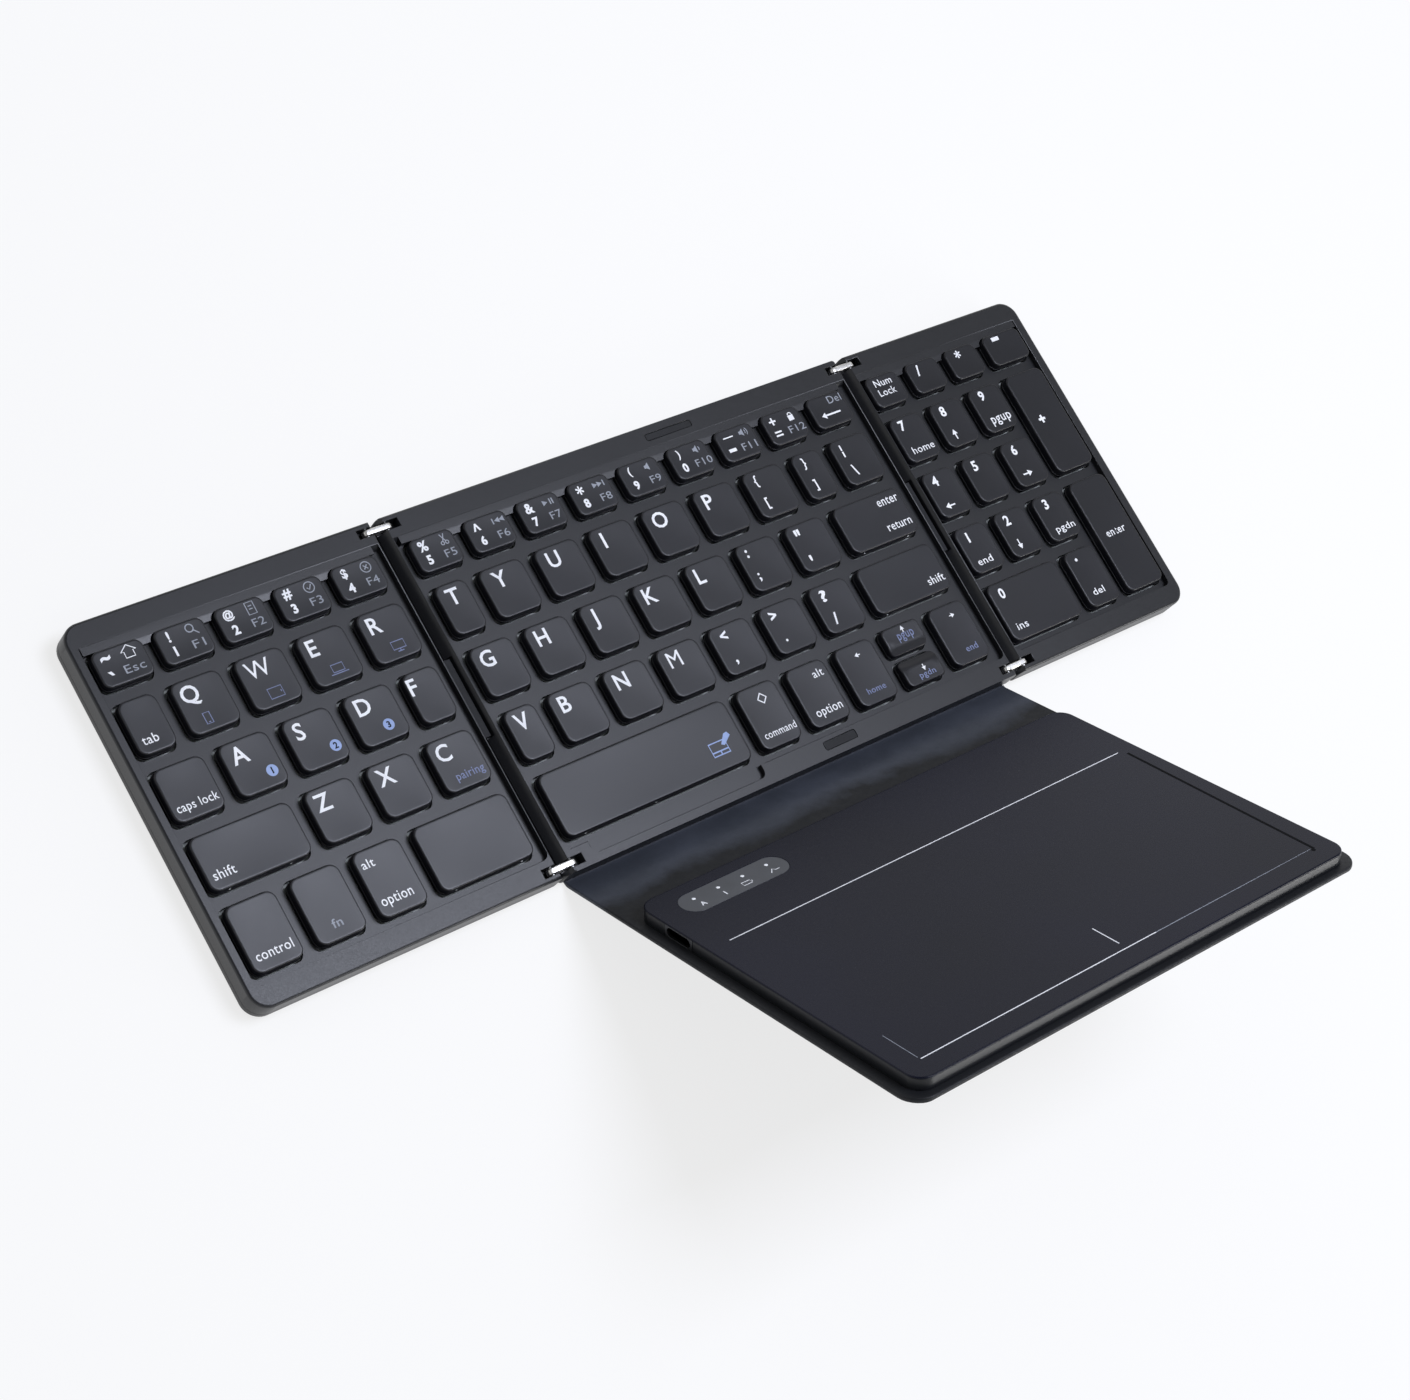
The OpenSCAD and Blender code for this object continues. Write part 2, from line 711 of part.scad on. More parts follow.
// Four status lights on the board, right under the window
led_h = 0.5;
led_w = 1.6;
led_first_x = window_x - 1.5 * led_pitch;
module status_leds() {
  color([0.9, 0.95, 1]) at_touch() for (i = [0:3])
    translate([led_first_x + i * led_pitch - led_w / 2, -window_y + 0.7, plate_z - led_h])
      cube([led_w, led_w / 2, led_h]);
}

// Touch sensor board under the cover, with a strip that carries the status lights
touch_area_near = 27.6;
touch_area_far = module_end - 6.6;
touch_area_w = module_w - 12.5;
strip_x = window_x - window_w / 2 + 1;
module touch_circuit_board() {
  color(board_colour) at_touch() {
    translate([-touch_area_w / 2, -touch_area_far, touch_board_z])
      cube([touch_area_w, touch_area_far - touch_area_near, board_t]);
    translate([strip_x, -touch_area_near - 1, touch_board_z - led_h])
      cube([window_w + 4, touch_area_near - module_y - 1, board_t]);
  }
}

battery_w = 80;
battery_d = 21;
battery_play = 1.2;
module touch_battery() {
  x = module_w / 2 - wall - 10 * battery_play - battery_w;
  color([0.75, 0.77, 0.8]) at_touch()
    translate([x, -touch_area_near + battery_play, touch_z + shell_floor])
      cube([battery_w, battery_d, shell_t - shell_floor - 0.15]);
}

// Socket for the charging plug, with a bezel that fills the notch in the tray's wall
module charge_port() {
  x = -module_w / 2;
  color(steel_colour) at_touch() {
    difference() {
      union() {
        at_port(x + 0.2, port_deep) port_shape(0);
        translate([x, -port_y - bezel_w / 2, touch_z + 0.05])
          cube([0.8, bezel_w, shell_t - 0.1]);
      }
      at_port(x - cut, port_deep + cut) port_shape(-port_skin);
    }
    translate([x + 1, -port_y - port_w * 0.37, touch_z + shell_t / 2 - 0.3])
      cube([port_deep - 0.9, port_w * 0.74, 0.6]);
  }
}

module touch_magnets() {
  color(steel_colour) at_touch()
    magnet_pair(0, -module_end + wall + magnet_r + 0.2, touch_z + shell_floor, magnet_h);
}

middle_top_case();
middle_bottom_case();
middle_dome_sheet();
middle_circuit_board();
middle_leather();
middle_screws();
middle_bumpers();
middle_magnets();
middle_hinge_pins();
left_top_case();
left_bottom_case();
left_dome_sheet();
left_circuit_board();
left_screws();
left_feet();
left_hinge_pins();
right_top_case();
right_bottom_case();
right_dome_sheet();
right_circuit_board();
right_screws();
right_feet();
right_hinge_pins();
left_hinge_links();
right_hinge_links();
left_flex_sleeve();
right_flex_sleeve();
left_number_keys();
left_upper_keys();
left_home_keys();
left_lower_keys();
left_front_keys();
left_shift_key();
left_blank_key();
middle_number_keys();
middle_upper_keys();
middle_home_keys();
middle_lower_keys();
middle_front_keys();
enter_key();
right_shift_key();
space_key();
pad_top_keys();
pad_upper_keys();
pad_home_keys();
pad_lower_keys();
pad_front_keys();
pad_plus_key();
pad_enter_key();
flap_leather();
touch_base();
touch_shell();
touch_plate();
touch_circuit_board();
touch_battery();
charge_port();
led_window();
status_leds();
touch_magnets();
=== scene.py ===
import json
import math

import bmesh
import bpy
from mathutils import Matrix, Vector, noise
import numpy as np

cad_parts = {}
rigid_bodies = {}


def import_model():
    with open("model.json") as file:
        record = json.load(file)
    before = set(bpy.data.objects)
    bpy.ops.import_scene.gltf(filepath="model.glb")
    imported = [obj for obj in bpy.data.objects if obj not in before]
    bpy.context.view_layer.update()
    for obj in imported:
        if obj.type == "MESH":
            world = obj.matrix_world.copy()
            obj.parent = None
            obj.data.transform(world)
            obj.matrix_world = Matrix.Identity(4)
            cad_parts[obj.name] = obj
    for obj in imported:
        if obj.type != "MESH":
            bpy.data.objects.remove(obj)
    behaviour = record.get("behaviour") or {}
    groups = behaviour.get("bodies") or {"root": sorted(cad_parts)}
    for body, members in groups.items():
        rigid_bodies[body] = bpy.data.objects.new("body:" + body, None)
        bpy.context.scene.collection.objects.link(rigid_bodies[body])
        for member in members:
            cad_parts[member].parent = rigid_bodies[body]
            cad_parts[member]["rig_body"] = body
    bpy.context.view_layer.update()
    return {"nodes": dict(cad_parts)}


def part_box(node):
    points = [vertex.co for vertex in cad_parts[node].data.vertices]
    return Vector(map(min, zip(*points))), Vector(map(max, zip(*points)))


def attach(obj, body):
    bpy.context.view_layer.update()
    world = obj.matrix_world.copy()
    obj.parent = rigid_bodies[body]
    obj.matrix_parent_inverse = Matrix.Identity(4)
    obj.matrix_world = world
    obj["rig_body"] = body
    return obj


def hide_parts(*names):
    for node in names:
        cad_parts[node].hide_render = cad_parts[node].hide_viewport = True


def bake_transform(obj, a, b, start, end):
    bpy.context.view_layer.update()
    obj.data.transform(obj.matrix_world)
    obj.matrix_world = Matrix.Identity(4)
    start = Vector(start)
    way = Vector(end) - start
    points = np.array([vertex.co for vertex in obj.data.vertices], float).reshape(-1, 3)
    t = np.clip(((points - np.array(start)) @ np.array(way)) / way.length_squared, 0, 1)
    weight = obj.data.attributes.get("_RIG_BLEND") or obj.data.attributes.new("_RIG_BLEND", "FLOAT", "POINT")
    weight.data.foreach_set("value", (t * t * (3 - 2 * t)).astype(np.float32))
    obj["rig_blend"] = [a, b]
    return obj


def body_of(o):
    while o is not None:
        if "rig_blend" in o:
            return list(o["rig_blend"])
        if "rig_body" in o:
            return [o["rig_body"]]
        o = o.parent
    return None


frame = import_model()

nodes = frame["nodes"]
print("frame loaded:", len(nodes), "nodes")


def hexToLinear(code):
    values = [int(code[i:i + 2], 16) / 255 for i in (0, 2, 4)]
    return (*[v / 12.92 if v <= 0.04045 else ((v + 0.055) / 1.055) ** 2.4 for v in values], 1.0)


def addNode(tree, kind, settings=None, links=None):
    node = tree.nodes.new(kind)
    for key, value in (settings or {}).items():
        if isinstance(key, str) and hasattr(node, key) and key not in node.inputs:
            setattr(node, key, value)
        else:
            node.inputs[key].default_value = value
    for key, source in (links or {}).items():
        tree.links.new(source, node.inputs[key])
    return node


def emptyTree(owner):  # of a material or the world
    owner.use_nodes = True
    owner.node_tree.nodes.clear()
    return owner.node_tree


def startSurface(name):
    material = bpy.data.materials.new(name)
    tree = emptyTree(material)
    shader = addNode(tree, "ShaderNodeBsdfPrincipled")
    addNode(tree, "ShaderNodeOutputMaterial", links={"Surface": shader.outputs["BSDF"]})
    return material, tree, shader, addNode(tree, "ShaderNodeTexCoord").outputs["Object"]


def grain(tree, coords, sizeMm, detail=3.0, rough=0.55):
    return addNode(tree, "ShaderNodeTexNoise", {"Scale": 1000.0 / sizeMm, "Detail": detail, "Roughness": rough},
                   {"Vector": coords}).outputs["Fac"]


def ramp(tree, source, low, high, fromLow=0.3, fromHigh=0.7):
    return addNode(tree, "ShaderNodeMapRange",
                   {"From Min": fromLow, "From Max": fromHigh, "To Min": low, "To Max": high},
                   {"Value": source}).outputs["Result"]


def mixColours(tree, factor, first, second):
    return addNode(tree, "ShaderNodeMix", {"data_type": "RGBA", 6: first, 7: second}, {0: factor}).outputs[2]


def bump(tree, shader, height, distanceMm, strength, below=None):
    links = {"Height": height} if below is None else {"Height": height, "Normal": below}
    node = addNode(tree, "ShaderNodeBump", {"Strength": strength, "Distance": distanceMm / 1000}, links)
    tree.links.new(node.outputs["Normal"], shader.inputs["Normal"])
    return node.outputs["Normal"]


def grainedSurface(name, colour, patchColour, grainMm, patchMm, smooth, rough, bumpMm, ior=None, specular=0.5):
    material, tree, shader, coords = startSurface(name)
    fine = grain(tree, coords, grainMm)
    broad = grain(tree, coords, patchMm, detail=2.0)
    mixed = mixColours(tree, ramp(tree, broad, 0, 1, 0.35, 0.65), hexToLinear(colour), hexToLinear(patchColour))
    tree.links.new(mixed, shader.inputs["Base Color"])
    tree.links.new(ramp(tree, fine, smooth, rough), shader.inputs["Roughness"])
    bump(tree, shader, fine, bumpMm, 0.6)
    shader.inputs["Specular IOR Level"].default_value = specular
    if ior is None:  # a metal keeps the default IOR
        shader.inputs["Metallic"].default_value = 1.0
    else:
        shader.inputs["IOR"].default_value = ior
    return material


# finishes: colour and colour of the patches, grain and patches in mm, roughness from and to, bump in mm, then IOR (a
# metal has none) and specular level
finishes = {
    # ABS case, moulded with a fine spark-eroded grain: dark and satin, it spreads a highlight wide
    "mouldedAbsCase": ("18191C", "1B1C1F", 0.4, 40, 0.33, 0.42, 0.01, 1.5),
    # ABS key caps with a rubbery soft-touch paint: the same dark, a little smoother and cooler
    "softTouchAbsKey": ("0E0F15", "111219", 0.35, 25, 0.32, 0.41, 0.007, 1.5),
    # Moulded silicone, milky
    "mouldedSiliconeSheet": ("CDD2CF", "C6CCC8", 0.4, 12, 0.45, 0.6, 0.01, 1.41),
    # Glass-epoxy board under green solder mask
    "solderMaskBoard": ("0F4A2C", "0C3F26", 0.6, 5, 0.25, 0.4, 0.015, 1.55),
    # Pressed magnet, nickel plated: pale and mirror-like
    "nickelPlatedMagnet": ("B9B6AE", "C4C1B9", 0.5, 4, 0.18, 0.3, 0.003),
    # Stainless steel, turned: grey with a soft shine
    "turnedStainlessSteel": ("9C9C9A", "A8A8A6", 0.2, 3, 0.25, 0.4, 0.004),
    # Steel shell of the socket, drawn and black nickel plated: dark, with a dull shine
    "blackNickelShell": ("4A4B4E", "525356", 0.2, 2, 0.35, 0.5, 0.003),
    # Zinc link, chrome plated with a satin polish: it takes the white of the room
    "chromePlatedZinc": ("F4F3F0", "F8F7F4", 0.8, 4, 0.3, 0.36, 0.0004),
    # Black rubber, moulded matt
    "mouldedRubber": ("1C1D1F", "212225", 0.35, 6, 0.6, 0.75, 0.02, 1.52, 0.3),
    # Polycarbonate tray, moulded and satin
    "mouldedPolycarbonateTray": ("131519", "16181C", 0.35, 30, 0.34, 0.4, 0.002, 1.58, 0.3),
    # Hard-coated PET film over the sensor: smooth satin, almost black with a blue cast
    "hardCoatedPetFilm": ("080B1A", "0A0D1F", 0.3, 60, 0.24, 0.32, 0.0015, 1.5, 0.16),
    # Smoked polycarbonate window, frosted from behind: a flat middle grey
    "smokedPolycarbonate": ("46484B", "4B4D51", 0.4, 8, 0.3, 0.4, 0.003, 1.58, 0.3),
    # Aluminium laminate pouch of the battery, pressed
    "pressedAluminiumPouch": ("A9ADB2", "B4B8BD", 1.5, 12, 0.3, 0.45, 0.04),
    # Screen-printed white ink: opaque and matt
    "screenPrintedInk": ("F0F1F2", "E6E7EA", 0.3, 2, 0.5, 0.65, 0.004, 1.5),
    # Screen-printed pale blue ink: opaque discs and pictures
    "screenPrintedBlueInk": ("8CA0CC", "96AAD4", 0.3, 2, 0.5, 0.65, 0.004, 1.5),
    # The same ink in a thin coat for the second marks: the key shows through and dulls it
    "screenPrintedThinInk": ("6D789C", "7882A6", 0.3, 2, 0.5, 0.65, 0.004, 1.5),
    # Screen-printed grey ink, thin enough for the key to darken it
    "screenPrintedGreyInk": ("8D929C", "989DA6", 0.3, 2, 0.5, 0.65, 0.004, 1.5),
    # Printed dark ink: the outline of the touch area and the numbers in the discs
    "screenPrintedBlackInk": ("07080A", "0B0C0F", 0.3, 2, 0.5, 0.65, 0.003, 1.5, 0.04),
    # Clear epoxy lens of the status lights
    "castEpoxyLens": ("F4F7F9", "FAFBFC", 0.3, 1, 0.15, 0.25, 0.002, 1.52),
}
materials = {name: grainedSurface(name, *look) for name, look in finishes.items()}

# Polyurethane artificial leather, embossed with a fine pore and cloudy from handling: soft, dull and bluish. Painted
# shade darkens it from one height to another, towards the module's edge, along an edge that wanders with the clouds
leatherLook = {"poreMm": 0.55, "creaseMm": 2.2, "cloudMm": 16, "colour": "343840", "colourCloud": "3E424B",
               "colourPaintedShade": "101216", "paintedShadeFrom": 14.5, "paintedShadeTo": 18.5, "paintedShadeWander": 12, "roughness": (0.42, 0.58),
               "creaseBumpMm": 0.05, "poreBumpMm": 0.03, "ior": 1.48, "specular": 0.3, "sheen": 0.06,
               "sheenRoughness": 0.45}


def embossedLeather(name, look):
    material, tree, shader, coords = startSurface(name)
    pores = addNode(tree, "ShaderNodeTexVoronoi", {"Scale": 1000.0 / look["poreMm"]}, {"Vector": coords})
    creases = grain(tree, coords, look["creaseMm"], detail=5.0, rough=0.65)
    cloud = grain(tree, coords, look["cloudMm"], detail=4.0, rough=0.6)
    cloudy = mixColours(tree, ramp(tree, cloud, 0, 1, 0.36, 0.64),
                        hexToLinear(look["colour"]), hexToLinear(look["colourCloud"]))
    split = addNode(tree, "ShaderNodeSeparateXYZ", links={"Vector": coords})
    # painted shade: the leather is painted darker above a height, towards the module's edge; the clouds make that
    # edge wander
    edge = addNode(tree, "ShaderNodeMath", {"operation": "MULTIPLY_ADD", 1: look["paintedShadeWander"] / 1000},
                   {0: cloud, 2: split.outputs["Z"]})
    paintedShadeMask = ramp(tree, edge.outputs[0], 0, 1, look["paintedShadeFrom"] / 1000, look["paintedShadeTo"] / 1000)
    dark = addNode(tree, "ShaderNodeMix", {"data_type": "RGBA", 7: hexToLinear(look["colourPaintedShade"])},
                   {0: paintedShadeMask, 6: cloudy})
    tree.links.new(dark.outputs[2], shader.inputs["Base Color"])
    tree.links.new(ramp(tree, creases, *look["roughness"]), shader.inputs["Roughness"])
    first = bump(tree, shader, creases, look["creaseBumpMm"], 0.6)
    bump(tree, shader, pores.outputs["Distance"], look["poreBumpMm"], 0.5, below=first)
    for socket, key in (("IOR", "ior"), ("Specular IOR Level", "specular"), ("Sheen Weight", "sheen"),
                        ("Sheen Roughness", "sheenRoughness")):
        shader.inputs[socket].default_value = look[key]
    return material


materials["embossedPuLeather"] = embossedLeather("embossedPuLeather", leatherLook)
print("materials made:", len(materials))


# sizes in mm, as in the part's source; only the corners of the keys and the status window are a little larger than
# there, as the photograph has them
size = {"depth": 101.5, "caseT": 7.0, "underT": 0.8, "cornerR": 5.0, "sideRim": 2.5, "sidePlay": 1.05, "foldGap": 0.4,
        "deckDrop": 1.8, "skirt": 0.6, "floorT": 1.0, "boardT": 0.8, "sheetT": 0.3, "travel": 1.3, "stemPlay": 0.1,
        "keyW": 13.9, "keyD": 14.4, "shortD": 9.9, "frontD": 17.8, "keyGap": 3.6, "halfKeyGap": 1.4, "arrowW": 13.6,
        "edgeW": 10.4, "narrowW": 9.9, "padW": 12.1, "padEndW": 14.7, "padGap": 3.15, "keyR": 2.6, "keyRise": 1.0,
        "leftSeam": 5.25, "middleSeam": 4.5, "rightSeam": 2.8, "rightExtra": 0.55, "frontKeysY": -43.0,
        "leftNumberGap": 2.8, "middleNumberGap": 3.3, "homeStep": 3.4, "pivotDrop": 1.5, "linkL": 6.0, "tilt": 43.3,
        "creaseClear": 0.3, "flapW": 152.6, "flapT": 1.3, "lidGap": 0.3, "lipFront": 2.1,
        "moduleW": 146.5, "moduleD": 97.2, "moduleT": 3.6, "moduleY": 1.1, "plateT": 0.4,
        "windowW": 33.0, "windowD": 8.6, "windowIn": 7.25, "windowY": 8.4}
halfD = size["depth"] / 2
rimZ = size["underT"] + size["caseT"]
deckZ = rimZ - size["deckDrop"]
keyTopZ = rimZ + size["keyRise"]
skirtZ = deckZ - size["skirt"]
stemZ = sum(size[key] for key in ("underT", "floorT", "boardT", "sheetT", "travel", "stemPlay"))
keyW, keyD, shortD, frontD, keyGap = (size[key] for key in ("keyW", "keyD", "shortD", "frontD", "keyGap"))
edgeW, narrowW, padGap = size["edgeW"], size["narrowW"], size["padGap"]
pitch = keyW + keyGap
leftField = edgeW + 4 * pitch
middleField = narrowW + keyGap + 6 * pitch + edgeW + pitch
padField = 3 * (size["padW"] + padGap) + size["padEndW"]
leftW = size["sideRim"] + size["sidePlay"] + leftField + size["leftSeam"]
rightW = size["rightSeam"] + padField + size["sidePlay"] + size["sideRim"] + size["rightExtra"]
seamX = (leftW + rightW + size["foldGap"]) / 2
leftKeysX = -seamX - size["leftSeam"] - leftField
middleKeysX = -seamX + size["middleSeam"]
padKeysX = seamX + size["rightSeam"]
rowY = [size["frontKeysY"], size["frontKeysY"] + frontD + keyGap]
for _ in range(3):
    rowY.append(rowY[-1] + keyD + keyGap)
axisY = -halfD - size["flapT"] / 2 - size["creaseClear"]
axisZ = halfT = size["flapT"] / 2
flapLen = 2 * (rimZ - size["pivotDrop"]) + size["linkL"] + size["lidGap"] + size["moduleT"]
plateZ = halfT + size["moduleT"] - size["plateT"]
plateTop = plateZ + size["plateT"]
moduleEnd = size["moduleY"] + size["moduleD"]

turnAngle = math.radians(size["tilt"])
touchPlace = (Matrix.Translation((0, axisY, axisZ)) @ Matrix.Rotation(-turnAngle, 4, "X")
              @ Matrix.Translation((0, -flapLen, 0)))


# the mesh helpers work in mm, and makePiece finishes in metres
def onCircle(cx, cy, r, degrees):
    return cx + r * math.cos(math.radians(degrees)), cy + r * math.sin(math.radians(degrees))


def roundedLoop(x, y, w, d, r, steps, along=(1, 1)):  # along: parts that the sides in x and in y are cut into
    corners = [(x + w - r, y + r, -90), (x + w - r, y + d - r, 0), (x + r, y + d - r, 90), (x + r, y + r, 180)]
    loop = []
    for k, (cx, cy, start) in enumerate(corners):
        loop += [onCircle(cx, cy, r, start + 90 * i / steps) for i in range(steps + 1)]
        nextX, nextY, turn = corners[(k + 1) % 4]
        (x0, y0), (x1, y1) = loop[-1], onCircle(nextX, nextY, r, turn)
        parts = along[(k + 1) % 2]
        loop += [(x0 + (x1 - x0) * i / parts, y0 + (y1 - y0) * i / parts) for i in range(1, parts)]
    return loop


def ringMesh(rings, closed=False):  # rings joined into a tube with closed ends, or into one that runs into itself
    verts, faces = [v for ring in rings for v in ring], []
    count, total = len(rings[0]), len(rings)
    for r in range(total if closed else total - 1):
        a, b = r * count, (r + 1) % total * count
        faces += [(a + i, a + (i + 1) % count, b + (i + 1) % count, b + i) for i in range(count)]
    if not closed:
        faces.append(tuple(reversed(range(count))))
        faces.append(tuple(range(len(verts) - count, len(verts))))
    return verts, faces


def joinMeshes(parts):
    verts, faces = [], []
    for v, f in parts:
        base = len(verts)
        verts += v
        faces += [tuple(base + i for i in face) for face in f]
    return verts, faces


def makePiece(name, mesh, material, body, place=Matrix(), **look):
    data = bpy.data.meshes.new(name)
    data.from_pydata(mesh[0], [], mesh[1])
    data.transform(place)
    data.transform(Matrix.Scale(0.001, 4))
    data.validate()
    outward = bmesh.new()
    outward.from_mesh(data)
    bmesh.ops.recalc_face_normals(outward, faces=outward.faces)
    outward.to_mesh(data)
    outward.free()
    return showPiece(name, data, material, body, **look)


def showPiece(name, data, material, body, replaces=(), slot=None, sharp=35, even=False):
    data.materials.append(materials[material])
    data.shade_smooth()
    data.set_sharp_from_angle(angle=math.radians(sharp))
    piece = bpy.data.objects.new(name, data)
    bpy.context.scene.collection.objects.link(piece)
    if even:  # flat faces keep their flat shading beside rounded edges
        weighted = piece.modifiers.new("evenShading", "WEIGHTED_NORMAL")
        weighted.weight = 100
        weighted.keep_sharp = True
    if body:
        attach(piece, body)
    if replaces:
        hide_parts(*replaces)
    return piece


# moulded and metal parts: the CAD shape, its edges rounded as a mould or a tumbler leaves them
partFinishes = {
    # node ending: (finish, edge radius in mm, the record's slot)
    "top_case": ("mouldedAbsCase", 0.13, "case_plastic"),
    "bottom_case": ("mouldedAbsCase", 0.3, "case_plastic"),
    "dome_sheet": ("mouldedSiliconeSheet", 0.1, "silicone_rubber"),
    "circuit_board": ("solderMaskBoard", 0, "circuit_board"),
    "bumpers": ("mouldedRubber", 0.12, "black_rubber"),
    "feet": ("mouldedRubber", 0.2, "black_rubber"),
    "magnets": ("nickelPlatedMagnet", 0.15, "magnet"),
    "hinge_pins": ("turnedStainlessSteel", 0.1, "plain_steel"),
    "hinge_links": ("chromePlatedZinc", 0.3, "polished_link"),
    "screws": ("turnedStainlessSteel", 0.06, "plain_steel"),
    "flex_sleeve": ("mouldedRubber", 0.15, "black_rubber"),
    "touch_shell": ("mouldedPolycarbonateTray", 0.25, "module_plastic"),
    "touch_battery": ("pressedAluminiumPouch", 0.5, "battery_foil"),
    "charge_port": ("blackNickelShell", 0.06, "port_steel"),
    "status_leds": ("castEpoxyLens", 0.1, "light_lens"),
}
outerEdgeMm = 0.7  # the rim's outer edge is rounder than the rest
onLine = 1e-5  # how near a point lies to a line or height that it is on, in metres


def onOutline(low, high, x, y):  # is the point on the outline of a case, and not at a seam?
    r = size["cornerR"] / 1000
    if min(abs(y - low.y), abs(y - high.y)) < onLine:
        return True
    for side in (low.x, high.x):
        if abs(side) > seamX / 1000 + 0.01:
            inward = r if side < 0 else -r
            if abs(x - side) < onLine:
                return True
            for edge, up in ((low.y, r), (high.y, -r)):
                away = math.hypot(x - side - inward, y - edge - up)
                if abs(away - r) < 6 * onLine and (x - side - inward) * inward <= 0:
                    return True
    return False


def roundEdges(mesh, chosen, radiusMm, segments):
    bmesh.ops.bevel(mesh, geom=chosen, offset=radiusMm / 1000, segments=segments, profile=0.5, affect="EDGES",
                    offset_type="OFFSET", clamp_overlap=False)


def roundedCopy(name, finish, edgeMm, slot):
    node = nodes[name]
    data = bpy.data.meshes.new(name + ".moulded")
    data.from_pydata([v.co.copy() for v in node.data.vertices], [], [tuple(p.vertices) for p in node.data.polygons])
    mesh = bmesh.new()
    mesh.from_mesh(data)
    bmesh.ops.remove_doubles(mesh, verts=mesh.verts, dist=2e-6)
    onDeck = set()
    if name.endswith("top_case"):  # the rim and the pierced deck keep their triangles, the openings stay crisp
        onDeck = {v for v in mesh.verts if min(abs(v.co.z - z / 1000) for z in (deckZ, rimZ)) < onLine}
    bmesh.ops.dissolve_limit(mesh, angle_limit=math.radians(0.4), verts=[v for v in mesh.verts if v not in onDeck],
                             edges=[e for e in mesh.edges if not onDeck.issuperset(e.verts)])
    if onDeck:
        low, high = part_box(name)
        outer = [e for e in mesh.edges if all(abs(v.co.z - high.z) < onLine for v in e.verts)
                 and onOutline(low, high, *((e.verts[0].co + e.verts[1].co) / 2).xy)]
        roundEdges(mesh, outer, outerEdgeMm, 4)
    if edgeMm:  # on a case only the longer edges of the rim
        roundEdges(mesh, [e for e in mesh.edges if e.is_manifold and e.calc_face_angle(0) > math.radians(40)
                          and (not onDeck or (min(v.co.z for v in e.verts) > (rimZ - 0.01) / 1000
                                              and e.calc_length() > 0.00025))], edgeMm, 2)
    mesh.to_mesh(data)
    mesh.free()
    showPiece(name + ".moulded", data, finish, body_of(node)[0], replaces=[name], slot=slot, sharp=60,
              even=not onDeck)
    if onDeck:  # flat faces shaded flat, the rounded edges between them smooth
        for face in data.polygons:
            face.use_smooth = max(abs(c) for c in face.normal) < 0.9995


for name in nodes:
    for ending, look in partFinishes.items():
        if name.endswith(ending):
            roundedCopy(name, *look)
            break
print("moulded and metal parts rounded")


# key caps: the wall has a fine lip at its foot, leans in above it and runs into a soft edge
keyShape = {"wall": [(0.12, skirtZ), (0.0, skirtZ + 0.12), (0.0, deckZ + 0.42), (0.04, deckZ + 0.5),
                     (0.14, deckZ + 0.53), (0.16, deckZ + 0.6), (0.18, keyTopZ - 0.42)],
            "edgeIn": 0.18, "edgeR": 0.42, "edgeSteps": 5, "sideStep": 1.5, "topStep": 0.6, "dish": 0.12,
            "stem": [(3.0, skirtZ), (3.0, stemZ), (2.5, stemZ), (2.5, skirtZ)], "slopeLength": 2.5, "slopeDrop": 1.1,
            "gateR": 0.24, "gateIn": 0.26, "gateZ": deckZ + 0.95}


def keyRow(x, row, widths, gap=keyGap, d=keyD):  # keys are (x, y, width, depth)
    return [(x + sum(widths[:i]) + i * gap, rowY[row], w, d) for i, w in enumerate(widths)]


def numberRow(x, field, n, gap):  # n equal keys across the field
    return keyRow(x, 4, [(field - (n - 1) * gap) / n] * n, gap, shortD)


